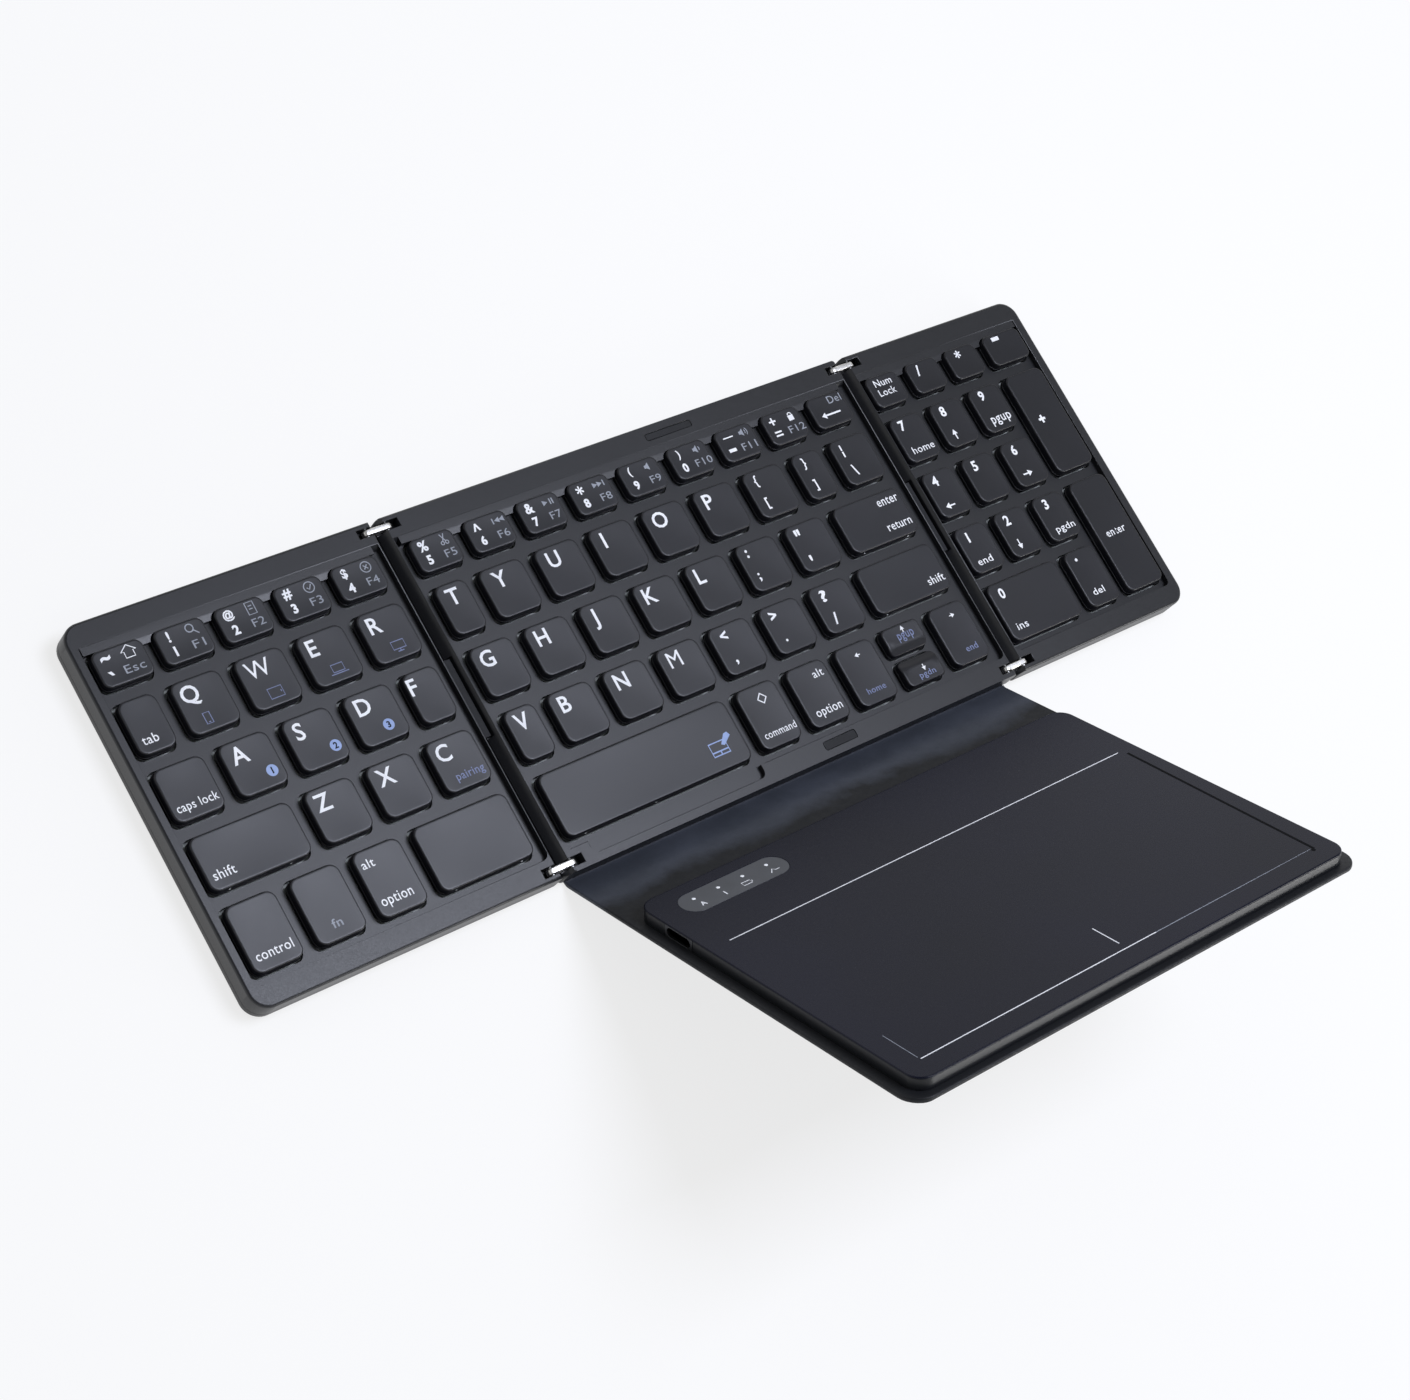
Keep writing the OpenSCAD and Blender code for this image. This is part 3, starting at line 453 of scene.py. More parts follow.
homeW = narrowW + keyGap + size["homeStep"]
arrowW = size["arrowW"]
arrowsX = middleKeysX + middleField - 5 * arrowW - 4 * keyGap
halfKeyD = (frontD - size["halfKeyGap"]) / 2
padX = padKeysX + 3 * (size["padW"] + padGap)
three = [size["padW"]] * 3
keyRows = {
    "left_number_keys": numberRow(leftKeysX, leftField, 5, size["leftNumberGap"]),
    "left_upper_keys": keyRow(leftKeysX, 3, [edgeW] + [keyW] * 4),
    "left_home_keys": keyRow(leftKeysX, 2, [keyW] * 4 + [edgeW]),
    "left_shift_key": keyRow(leftKeysX, 1, [leftField - 3 * pitch]),
    "left_lower_keys": keyRow(leftKeysX + leftField - 3 * pitch + keyGap, 1, [keyW] * 3),
    "left_front_keys": keyRow(leftKeysX, 0, [keyW] * 3, d=frontD),
    "left_blank_key": keyRow(leftKeysX + 3 * pitch, 0, [leftField - 3 * pitch], d=frontD),
    "middle_number_keys": numberRow(middleKeysX, middleField, 9, size["middleNumberGap"]),
    "middle_upper_keys": keyRow(middleKeysX, 3, [narrowW] + [keyW] * 6 + [edgeW, keyW]),
    "middle_home_keys": keyRow(middleKeysX, 2, [homeW - keyGap] + [keyW] * 6),
    "enter_key": keyRow(middleKeysX + homeW + 6 * pitch, 2, [middleField - homeW - 6 * pitch]),
    "middle_lower_keys": keyRow(middleKeysX, 1, [narrowW] + [keyW] * 6),
    "right_shift_key": keyRow(middleKeysX + narrowW + keyGap + 6 * pitch, 1,
                              [middleField - narrowW - keyGap - 6 * pitch]),
    "space_key": keyRow(middleKeysX, 0, [arrowsX - keyGap - middleKeysX], d=frontD),
    "middle_front_keys": keyRow(arrowsX, 0, [arrowW] * 3, d=frontD)
    + [(arrowsX + 3 * (arrowW + keyGap), rowY[0] + i * (frontD - halfKeyD), arrowW, halfKeyD) for i in (0, 1)]
    + [(arrowsX + 4 * (arrowW + keyGap), rowY[0], arrowW, frontD)],
    "pad_top_keys": keyRow(padKeysX, 4, three + [size["padEndW"]], padGap, shortD),
    "pad_upper_keys": keyRow(padKeysX, 3, three, padGap),
    "pad_home_keys": keyRow(padKeysX, 2, three, padGap),
    "pad_lower_keys": keyRow(padKeysX, 1, three, padGap),
    "pad_front_keys": keyRow(padKeysX, 0, [2 * size["padW"] + padGap, size["padW"]], padGap, frontD),
    "pad_plus_key": keyRow(padX, 2, [size["padEndW"]], padGap, 2 * keyD + keyGap),
    "pad_enter_key": keyRow(padX, 0, [size["padEndW"]], padGap, frontD + keyGap + keyD),
}


def topDrop(key, x, y):
    kx, ky, w, d = key
    u = max(-1.0, min(1.0, (2 * (x - kx) / w - 1)))
    v = max(-1.0, min(1.0, (2 * (y - ky) / d - 1)))
    drop = keyShape["dish"] * (1 - u * u) * (1 - v * v)
    if d < shortD - 1:  # the two half keys slope down towards each other
        fromShared = (ky + d - y) if ky < rowY[0] + 1 else (y - ky)
        t = max(0.0, min(1.0, 1 - fromShared / keyShape["slopeLength"]))
        drop += keyShape["slopeDrop"] * t * (1.3 - 0.3 * t)
    return drop


def keyCorner(d):  # the short keys have tighter corners
    return min(size["keyR"], d / 4.5)


def capMesh(key):
    x, y, w, d = key
    r = keyCorner(d)
    edgeR, edgeIn, steps = keyShape["edgeR"], keyShape["edgeIn"], keyShape["edgeSteps"]
    along = tuple(max(2, round((side - 2 * r) / keyShape["sideStep"])) for side in (w, d))

    def ring(inset, z, drop=1.0):
        loop = roundedLoop(x + inset, y + inset, w - 2 * inset, d - 2 * inset, max(r - inset, 0.25), 8, along)
        return [(px, py, z - drop * topDrop(key, px, py)) for px, py in loop]

    rings = [ring(inset, z, 0.0 if z < deckZ + 0.7 else 1.0) for inset, z in keyShape["wall"]]
    for i in range(1, steps + 1):
        a = math.pi / 2 * i / steps
        rings.append(ring(edgeIn + edgeR * (1 - math.cos(a)), keyTopZ - edgeR * (1 - math.sin(a))))
    inset = edgeIn + edgeR + keyShape["topStep"] / 2
    while inset < min(w, d) / 2 - 0.4:
        rings.append(ring(inset, keyTopZ))
        inset += keyShape["topStep"]
    stem = [[(*onCircle(x + w / 2, y + d / 2, radius, -360 * i / 32), z) for i in range(32)]
            for radius, z in keyShape["stem"]]
    return joinMeshes([ringMesh(rings), ringMesh(stem, closed=True)])


def gateMesh(x, y, z):  # a mould gate, cut off and left a little rough
    r = keyShape["gateR"]
    return ringMesh([[(x + r * wide * 1.3 * math.cos(math.pi * i / 5), y - r * out,
                       z + r * wide * math.sin(math.pi * i / 5)) for i in range(10)]
                     for out, wide in ((0.0, 1.0), (0.55, 0.9), (0.9, 0.5), (1.0, 0.2))])


def keyAt(x, y):
    for name, row in keyRows.items():
        for key in row:
            if key[0] <= x <= key[0] + key[2] and key[1] <= y <= key[1] + key[3]:
                return name, key
    raise ValueError("no key at %s, %s" % (x, y))


for name, row in keyRows.items():
    makePiece(name + ".caps", joinMeshes(map(capMesh, row)), "softTouchAbsKey", name, replaces=[name],
              slot="key_plastic", sharp=50)
for name, places in {"left_shift_key": [5.0, 21.8], "left_blank_key": [4.4, 24.0], "space_key": [6.0, 28.5],
                     "enter_key": [4.4, 20.6], "right_shift_key": [4.0, 21.0]}.items():
    x, y = keyRows[name][0][:2]
    gates = joinMeshes(gateMesh(x + dx, y + keyShape["gateIn"], keyShape["gateZ"]) for dx in places)
    makePiece(name + ".gates", gates, "castEpoxyLens", name)
print("key caps made:", sum(map(len, keyRows.values())))

# the moulded ledge between the number keys and the rear rim, with a tooth in each gap between two keys; the teeth
# lean towards the front and take the light. Back, front and tip are (y from the keys' rear edge, z), and the flare
# says where a gap widens at the keys' round corners, in parts of their radius
ledge = {"back": (2.18, rimZ - 0.06), "front": (0.12, rimZ - 0.1), "tip": (-1.9, rimZ - 0.4), "foot": deckZ - 0.05,
         "backFoot": rimZ - 0.6, "keyClear": 0.25, "endClear": 0.75, "flare": (0.04, 0.14, 0.3, 0.55)}


def ledgeMesh(row):
    rear = row[0][1] + row[0][3]
    r = keyCorner(row[0][3])
    (tipY, tipZ), (frontY, frontZ), (backY, backZ) = ledge["tip"], ledge["front"], ledge["back"]
    outline = [(row[0][0] - ledge["endClear"], frontY)]
    for (x, _, w, _), (nextX, _, _, _) in zip(row, row[1:]):
        cx, half = (x + w + nextX) / 2, (nextX - x - w) / 2 - ledge["keyClear"]
        side = [(half + r - math.sqrt(r * r - (r - dy) ** 2), -dy) for dy in (r * part for part in ledge["flare"])]
        side.append((half, tipY))
        outline += [(cx - s, y) for s, y in side] + [(cx + s, y) for s, y in reversed(side)]
    outline.append((row[-1][0] + row[-1][2] + ledge["endClear"], frontY))
    slope = (frontZ - tipZ) / (frontY - tipY)
    front = [(x, rear + y, tipZ + slope * (y - tipY)) for x, y in outline]
    top = front + [(x, rear + backY, backZ) for x, _, _ in (front[-1], front[0])]
    n, m, tooth = len(top), len(front), 2 * len(ledge["flare"]) + 2
    verts = top + [(x, y, ledge["foot"] if i < m else ledge["backFoot"]) for i, (x, y, _) in enumerate(top)]
    roots = range(1, m - 1, tooth)
    faces = [tuple(range(i, i + tooth)) for i in roots]
    faces.append((0, *(j for i in roots for j in (i, i + tooth - 1)), m - 1, n - 2, n - 1))
    faces += [(i, i + n, (i + 1) % n + n, (i + 1) % n) for i in range(n)]
    faces.append(tuple(reversed(range(n, 2 * n))))
    return verts, faces


for name, body in (("left_number_keys", "left_panel"), ("middle_number_keys", "middle_panel"),
                   ("pad_top_keys", "right_panel")):
    makePiece(body + ".rear_ramp", ledgeMesh(keyRows[name]), "mouldedAbsCase", body, slot="case_plastic", sharp=20)
print("rear ledges made")


# printed marks on the keys
ink = {"thick": 0.02, "lift": 0.018, "letterH": 4.3, "letterBase": 8.3, "symbolH": 2.9, "digitH": 2.6, "nameH": 2.1,
       "padDigitH": 3.1, "thin": 0.26}
white, grey, blue, dim, black = ("screenPrintedInk", "screenPrintedGreyInk", "screenPrintedBlueInk",
                                 "screenPrintedThinInk", "screenPrintedBlackInk")
inkNames = {white: "white", grey: "grey", blue: "blue", dim: "dim", black: "black"}
textCache = {}


def textMesh(words, bold):
    if (words, bold) not in textCache:
        curve = bpy.data.curves.new("words", "FONT")
        curve.body = words
        curve.size = 10
        curve.offset = bold * 10
        curve.space_character = 1.07  # keeps thickened letters apart
        curve.extrude = 1
        curve.resolution_u = 3
        holder = bpy.data.objects.new("words", curve)
        bpy.context.scene.collection.objects.link(holder)
        bpy.context.view_layer.update()
        data = bpy.data.meshes.new_from_object(holder.evaluated_get(bpy.context.evaluated_depsgraph_get()))
        textCache[(words, bold)] = [tuple(v.co) for v in data.vertices], [tuple(p.vertices) for p in data.polygons]
        bpy.data.objects.remove(holder)
        bpy.data.curves.remove(curve)
        bpy.data.meshes.remove(data)
    return textCache[(words, bold)]


def placeText(words, bold, x, y, height=None, width=None, centred=True):  # else x, y starts the baseline
    verts, faces = textMesh(words, bold)
    xs, ys, _ = zip(*verts)
    left, right, top, bottom = min(xs), max(xs), max(ys), min(ys) if centred else 0
    tall = height / (top - bottom) if height else width / (right - left)
    wide = width / (right - left) if width else tall
    fromX, fromY = ((right + left) / 2, (top + bottom) / 2) if centred else (left, 0)
    half = ink["thick"] / 2
    return [(x + (a - fromX) * wide, y + (b - fromY) * tall, math.copysign(half, c)) for a, b, c in verts], faces


def strokeMesh(lines, width):
    parts = []
    half = ink["thick"] / 2
    for line in lines:
        closed = line[0] == line[-1]
        points = line[:-1] if closed else line
        sides = []
        for i, (x, y) in enumerate(points):
            before = points[i - 1] if i or closed else (x, y)
            after = points[(i + 1) % len(points)] if closed or i < len(points) - 1 else (x, y)
            dx, dy = after[0] - before[0], after[1] - before[1]
            length = math.hypot(dx, dy) or 1
            nx, ny = -dy / length * width / 2, dx / length * width / 2
            sides.append([(x - nx, y - ny, -half), (x + nx, y + ny, -half), (x + nx, y + ny, half),
                          (x - nx, y - ny, half)])
        parts.append(ringMesh(sides, closed))
    return joinMeshes(parts)


def polygonMesh(outline):
    half = ink["thick"] / 2
    return ringMesh([[(x, y, z) for x, y in outline] for z in (-half, half)])


def circlePoints(cx, cy, r, n=20, start=0, turn=360):
    return [onCircle(cx, cy, r, start + turn * i / n) for i in range(n + 1)]


def box(x0, y0, x1, y1):
    return [(x0, y0), (x1, y0), (x1, y1), (x0, y1), (x0, y0)]


def drawing(*lines):
    return strokeMesh(lines, ink["thin"])


def arrow(angle, length=1.9, line=0.3, head=1.15):
    c, s = math.cos(math.radians(angle)), math.sin(math.radians(angle))
    barb, half = length / 2 - head, head * 0.62
    shaft, tip = ([(c * x - s * y, s * x + c * y) for x, y in points]
                  for points in ([(-length / 2, 0), (length / 2 - head * 0.7, 0)],
                                 [(barb, -half), (length / 2, 0), (barb, half)]))
    return joinMeshes([strokeMesh([shaft], line), polygonMesh(tip)])


def triangle(x, way=1, s=0.75):
    return polygonMesh([(x - s * way, -s), (x + s * way, 0), (x - s * way, s)][::way])


def bar(x):
    return strokeMesh([[(x, -0.8), (x, 0.8)]], 0.35)


def speaker(waves):
    cone = polygonMesh([(-1.4, -0.45), (-0.8, -0.45), (0, -1.1), (0, 1.1), (-0.8, 0.45), (-1.4, 0.45)])
    return joinMeshes([cone] + [strokeMesh([circlePoints(0, 0, 0.75 + 0.65 * i, 8, -45, 90)], 0.24)
                                for i in range(waves)])


pictures = {
    "house": drawing([(-2.0, 0.1), (0, 1.7), (2.0, 0.1), (1.2, 0.1), (1.2, -1.5), (-1.2, -1.5), (-1.2, 0.1),
                      (-2.0, 0.1)]),
    "glass": strokeMesh([circlePoints(-0.4, 0.4, 1.0), [(0.35, -0.3), (1.5, -1.5)]], 0.3),
    "pages": drawing(box(-1.2, -1.6, 1.0, 1.6), [(-0.6, 0.6), (0.4, 0.6)], [(-0.6, -0.2), (0.4, -0.2)]),
    "ringTick": drawing(circlePoints(0, 0, 1.4), [(-0.65, 0.0), (-0.1, -0.6), (0.75, 0.65)]),
    "ringCross": drawing(circlePoints(0, 0, 1.4), [(-0.55, -0.55), (0.55, 0.55)], [(-0.55, 0.55), (0.55, -0.55)]),
    "scissors": drawing(circlePoints(-0.65, -0.95, 0.45, 12), circlePoints(0.65, -0.95, 0.45, 12),
                        [(-0.4, -0.55), (0.6, 1.5)], [(0.4, -0.55), (-0.6, 1.5)]),
    "back": joinMeshes([triangle(0.0, -1), triangle(1.4, -1), bar(-1.2)]),
    "play": joinMeshes([triangle(-1.1), bar(0.45), bar(1.2)]),
    "next": joinMeshes([triangle(-1.4), triangle(0.1), bar(1.3)]),
    "quiet": speaker(0), "soft": speaker(1), "loud": speaker(2),
    "lock": joinMeshes([polygonMesh(box(-0.9, -1.4, 0.9, 0.2)[:-1]),
                        strokeMesh([circlePoints(0, 0.3, 0.62, 10, 0, 180)], 0.28)]),
    "disc": polygonMesh(circlePoints(0, 0, 1.5, 28)[:-1]),
    # generic devices, where the photograph has words for kinds of computer
    "phone": drawing(box(-0.9, -1.5, 0.9, 1.5), [(-0.25, -1.1), (0.25, -1.1)]),
    "tablet": drawing(box(-2.0, -1.4, 2.0, 1.4), [(1.5, -0.3), (1.5, 0.3)]),
    "laptop": drawing(box(-1.7, -0.7, 1.7, 1.4), [(-2.6, -1.2), (2.6, -1.2)]),
    "screen": drawing(box(-1.9, -0.7, 1.9, 1.5), [(0, -0.7), (0, -1.4)], [(-0.9, -1.4), (0.9, -1.4)]),
    "diamond": strokeMesh([[(-1.4, 0), (0, -1.4), (1.4, 0), (0, 1.4), (-1.4, 0)]], 0.45),
    # a touchpad with two buttons and a fingertip, on the space key
    "pad": joinMeshes([strokeMesh([box(-3.4, -2.2, 1.6, 1.2), [(-3.4, -1.2), (1.6, -1.2)],
                                   [(-0.9, -2.2), (-0.9, -1.2)]], 0.36),
                       polygonMesh([(0.1, 0.2), (1.0, -0.3), (3.7, 1.6), (3.2, 2.6), (2.2, 2.5)])]),
    "longLeft": arrow(180, 6.8, 0.5, 1.5),
    "padLeft": arrow(180, 3.5, 0.42, 1.6), "padRight": arrow(0, 3.5, 0.42, 1.6),
    "padUp": arrow(90, 3.1, 0.42, 1.5), "padDown": arrow(-90, 3.1, 0.42, 1.5),
    "left": arrow(180), "right": arrow(0), "up": arrow(90), "down": arrow(-90),
}

# every mark is placed in the part's own mm on the key tops: (ink, mesh)
marks = []


def word(text, x0, x1, baseline, height, colour=white, bold=0.006):
    marks.append((colour, placeText(text, bold, x0, baseline, height, x1 - x0, centred=False)))


def sign(text, x, y, height=None, width=None, bold=0.03, colour=white, lift=0.0):
    verts, faces = placeText(text, bold, x, y, height, width)
    marks.append((colour, ([(a, b, c + lift) for a, b, c in verts], faces)))


def picture(name, x, y, colour=white, scale=1.0):
    verts, faces = pictures[name]
    marks.append((colour, ([(x + a * scale, y + b * scale, c) for a, b, c in verts], faces)))


letterPlaces = {  # row: letter and its left edge
    3: [("Q", -148.3), ("W", -130.3), ("E", -112.9), ("R", -95.3), ("T", -71.4), ("Y", -57.1), ("U", -39.9),
        ("I", -22.1), ("O", -5.3), ("P", 12.3)],
    2: [("A", -144.2), ("S", -126.6), ("D", -109.0), ("F", -93.5), ("G", -71.7), ("H", -54.4), ("J", -36.7),
        ("K", -19.5), ("L", -2.0)],
    1: [("Z", -130.6), ("X", -112.9), ("C", -95.6), ("V", -71.6), ("B", -57.8), ("N", -40.1), ("M", -22.6)]}
for row, letters in letterPlaces.items():
    for letter, x in letters:
        bold = 0.0 if letter in "MW" else 0.016
        tops = [max(v[1] for v in textMesh(glyph, bold)[0]) for glyph in (letter, "E")]
        marks.append((white, placeText(letter, bold, x, rowY[row] + ink["letterBase"],
                                       ink["letterH"] * tops[0] / tops[1], centred=False)))

# number row: upper sign, digit, picture, name and the name's width
numberMarks = {leftKeysX: [None, ("!", "1", "glass", "F1", 3.2), ("@", "2", "pages", "F2", 3.4),
                           ("#", "3", "ringTick", "F3", 3.4), ("$", "4", "ringCross", "F4", 3.4)],
               middleKeysX: [("%", "5", "scissors", "F5", 3.4), ("^", "6", "back", "F6", 3.4),
                             ("&", "7", "play", "F7", 3.4), ("*", "8", "next", "F8", 3.4),
                             ("(", "9", "quiet", "F9", 3.4), (")", "0", "soft", "F10", 5.4),
                             None, ("+", "=", "lock", "F12", 5.6)]}
for start, entries in numberMarks.items():
    x = start
    for entry in entries:
        if entry:
            upper, digit, image, name, nameW = entry
            y = rowY[4]
            if upper in "^*+":
                sign(upper, x + 3.5, y + 7.2, width=2.3, bold=0.015)
            else:
                sign(upper, x + 3.6, y + 7.2, ink["symbolH"])
            if digit == "=":
                sign(digit, x + 3.6, y + 3.4, width=2.4, bold=0.01)
            else:
                sign(digit, x + 3.7, y + 3.3, ink["digitH"], bold=0.04)
            picture(image, x + 9.9, y + 7.2, white if image == "lock" else grey)
            sign(name, x + 10.1, y + 3.4, ink["nameH"], nameW, 0.0, grey)
        x += 16.64 if start == leftKeysX else 16.633  # from one number key to the next
sign("~", -160.7, 39.8, None, 2.7, 0.05)
sign("`", -161.1, 35.9, None, 1.5, 0.05)
picture("house", -154.6, 39.7)
word("Esc", -157.6, -152.2, 34.6, 2.1, grey, 0.0)
sign("_", 30.1, 39.6, None, 3.4, 0.0)
sign("-", 29.5, 35.8, None, 2.5, 0.0)
picture("loud", 35.4, 39.7, grey)
word("F11", 32.8, 37.8, 34.6, 2.1, grey, 0.0)
word("Del", 66.5, 71.2, 39.0, 2.2, grey, 0.0)
picture("longLeft", 65.4, 36.1)

# the second marks of the letter keys
for name, x in (("phone", -144.5), ("tablet", -125.6), ("laptop", -107.8), ("screen", -90.0)):
    picture(name, x, 17.9, dim, 0.95)
for digit, x in (("1", -136.2), ("2", -118.3), ("3", -102.9)):
    picture("disc", x, 0.5, blue)
    sign(digit, x, 0.5, 1.7, colour=black, lift=ink["thick"])
word("pairing", -93.5, -85.3, -18.9, 2.0, dim)

# signs: text, middle in x and y, height, width, boldness
for entry in (("{", 30.9, 25.4, 3.6, None, 0.02), ("[", 30.9, 18.7, 3.5, None, 0.02),
              ("}", 48.3, 25.4, 3.6, None, 0.02), ("]", 48.3, 18.7, 3.5, None, 0.02),
              ("|", 62.0, 26.0, 1.7, 0.5), ("|", 62.0, 24.0, 1.7, 0.5), ("\\", 62.8, 18.9, 3.4, None, 0.02),
              (":", 16.3, 7.7, 2.4), (";", 16.3, 0.6, 2.6), ("\"", 34.2, 8.2, 1.8), ("'", 34.2, 0.4, 1.7),
              ("<", -3.5, -10.3, None, 2.3), (",", -3.5, -18.2, 1.4), (">", 13.6, -10.3, None, 2.3),
              (".", 13.8, -17.8, 0.75), ("?", 31.4, -10.5, 3.4, 2.3), ("/", 31.4, -17.3, 3.4)):
    sign(*entry)

# words: text, from x, to x, baseline, height above it
for entry in (("tab", -162.2, -157.9, 17.0, 2.3), ("caps lock", -162.5, -151.4, -1.0, 2.2),
              ("shift", -162.2, -156.2, -18.8, 2.4), ("control", -162.2, -152.2, -40.0, 2.4),
              ("alt", -127.5, -124.0, -30.0, 2.2), ("option", -127.4, -118.5, -39.9, 2.4),
              ("enter", 63.3, 70.8, 6.6, 2.1), ("return", 62.4, 71.0, -0.8, 2.0),
              ("shift", 65.0, 71.0, -18.9, 2.3), ("command", -7.8, 2.8, -39.9, 2.0),
              ("alt", 15.3, 18.8, -30.0, 2.2), ("option", 10.1, 19.0, -40.0, 2.3),
              ("Num", 84.0, 90.3, 38.8, 2.1), ("Lock", 84.0, 90.2, 35.8, 2.1),
              ("home", 84.0, 92.0, 17.0, 2.1), ("pgup", 115.0, 122.4, 17.1, 1.9),
              ("end", 84.0, 89.4, -19.2, 2.1), ("pgdn", 115.0, 122.3, -19.0, 2.0),
              ("ins", 84.4, 88.6, -40.0, 2.0), ("del", 115.0, 119.4, -39.6, 2.0),
              ("enter", 130.7, 138.2, -25.8, 1.9)):
    word(*entry)
word("fn", -141.3, -138.5, -39.9, 2.2, grey, 0.012)
for text, x0, x1, baseline, height in (("home", 28.3, 34.7, -39.8, 1.7), ("pgup", 46.3, 52.0, -29.6, 1.7),
                                       ("pgdn", 46.3, 52.0, -41.4, 1.7), ("end", 64.8, 69.0, -39.8, 1.8)):
    word(text, x0, x1, baseline, height, dim)
picture("diamond", -2.6, -29.4)
picture("pad", -21.0, -36.5, blue, 1.05)
for name, x, y in (("left", 31.4, -28.8), ("up", 49.0, -26.9), ("down", 49.0, -38.8), ("right", 66.4, -28.8),
                   ("padUp", 100.7, 18.3), ("padLeft", 85.9, -0.3), ("padRight", 116.8, 0.2),
                   ("padDown", 100.7, -17.8)):
    picture(name, x, y)
for digit, x, y in (("7", 85.2, 25.9), ("8", 100.8, 25.7), ("9", 116.4, 26.0), ("4", 85.3, 7.7), ("5", 100.8, 7.7),
                    ("6", 116.5, 7.9), ("1", 85.3, -10.6), ("2", 100.8, -10.2), ("3", 116.4, -10.1),
                    ("0", 85.7, -28.7)):
    sign(digit, x, y, ink["padDigitH"])
for entry in (("/", 100.6, 39.4, 3.3), ("*", 116.6, 40.0, None, 2.2, 0.015), ("-", 132.1, 40.6, None, 2.8, 0.01),
              (".", 115.7, -28.2, 1.0), ("+", 132.1, 13.5, None, 2.5, 0.04)):
    sign(*entry)

printed = {}
for colour, (verts, faces) in marks:
    xs, ys, _ = zip(*verts)
    name, key = keyAt((min(xs) + max(xs)) / 2, (min(ys) + max(ys)) / 2)
    moved = [(x, y, keyTopZ - topDrop(key, x, y) + ink["lift"] + z) for x, y, z in verts]
    printed.setdefault((name, colour), []).append((moved, faces))
for (name, colour), parts in printed.items():
    makePiece(name + ".marks." + inkNames[colour], joinMeshes(parts), colour, name, sharp=30)
print("key marks made:", len(marks))


# leather: one sheet in four pieces, so that it can bend at its two creases
leather = {"edgeR": 0.5, "acrossMm": 2.2, "waveMm": 0.16, "wrinkleMm": 0.05, "fadeMm": 3.0, "creaseR": 2.0,
           "frontReach": 1.0, "farR": 6.0, "rearR": 1.2, "rearIn": 0.6, "rearFrom": 1.6, "underFrom": -50.87}
halfFlapW = size["flapW"] / 2


def onFlap(s):  # a point of the flap's middle plane, s from the rear crease
    return axisY - s * math.cos(turnAngle), axisZ + s * math.sin(turnAngle)


def wave(x, s):
    return (leather["waveMm"] * noise.noise(Vector((x / 19, s / 8, 0.3)))
            + leather["wrinkleMm"] * noise.noise(Vector((x / 6, s / 3.5, 7.1))))


def leatherPiece(name, body, stations, **look):  # a station: y and z, its normal, half width, half thickness, s, fade
    count = int(size["flapW"] / leather["acrossMm"])
    rings = []
    for y, z, ny, nz, halfW, half, s, fade in stations:
        r = min(leather["edgeR"], half * 0.96)
        across = [(halfW - r) * (2 * i / count - 1) for i in range(count + 1)]
        side = [onCircle(halfW - r, half - r, r, 90 - a) for a in (22, 45, 68, 90)]
        loop = [(x, half + (wave(x, s) * fade if fade else 0)) for x in across]
        loop += side + [(x, -n) for x, n in reversed(side)]
        loop += [(x, -half) for x in reversed(across)]
        loop += [(-x, -n) for x, n in side] + [(-x, n) for x, n in reversed(side)]
        rings.append([(x, y + n * ny, z + n * nz) for x, n in loop])
    return makePiece(name, ringMesh(rings), "embossedPuLeather", body, slot="leather", sharp=50, **look)


def flatStation(s, halfW=halfFlapW, half=halfT, fade=0.0):
    return (*onFlap(s), math.sin(turnAngle), math.cos(turnAngle), halfW, half, s, fade)


# under the middle panel
half, rear, rearR = size["underT"] / 2, halfD - leather["rearIn"], leather["rearR"]
start = leather["underFrom"]
flatLength = rear - start - leather["rearFrom"]
under = [(start + flatLength * i / 12, half, 0, 1, halfFlapW, half, 0, 0) for i in range(13)]
for a in map(math.radians, (20, 40, 60, 75, 90)):
    under.append((rear - rearR * (1 - math.sin(a)), half, 0, 1, halfFlapW - rearR * (1 - math.cos(a)),
                  half * (1 - 0.5 * (1 - math.cos(a))), 0, 0))
leatherPiece("leather.under", "middle_panel", under, replaces=["middle_leather"])

# rear crease and flap
creaseR = leather["creaseR"]
flapFrom, flapTo = creaseR * math.tan(turnAngle / 2), flapLen - leather["frontReach"]
creaseY = axisY + flapFrom
stations = []
for i in range(9):
    a = turnAngle * i / 8
    stations.append((creaseY - creaseR * math.sin(a), axisZ + creaseR * (1 - math.cos(a)), math.sin(a), math.cos(a),
                     halfFlapW, halfT, -1 + 2 * i / 8, 0.0))
for i in range(1, 25):
    s = flapFrom + (flapTo - flapFrom) * i / 24
    stations.append(flatStation(s, fade=max(0.0, min(1.0, (s - 1) / leather["fadeMm"],
                                                     (flapTo - s) / leather["fadeMm"]))))
flapSheet = leatherPiece("leather.flap", None, stations, replaces=["flap_leather"])
start, end = (creaseY, axisZ), onFlap(flapFrom)
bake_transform(flapSheet, "middle_panel", "flap", start=(0, start[0] / 1000, start[1] / 1000),
         end=(0, end[0] / 1000, end[1] / 1000))

# front crease
reach = leather["frontReach"]
creaseSheet = leatherPiece("leather.crease", None, [flatStation(flapTo + i * reach / 5) for i in range(11)])
start, end = onFlap(flapTo), onFlap(flapTo + 2 * reach)
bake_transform(creaseSheet, "flap", "touchpad", start=(0, start[0] / 1000, start[1] / 1000),
         end=(0, end[0] / 1000, end[1] / 1000))

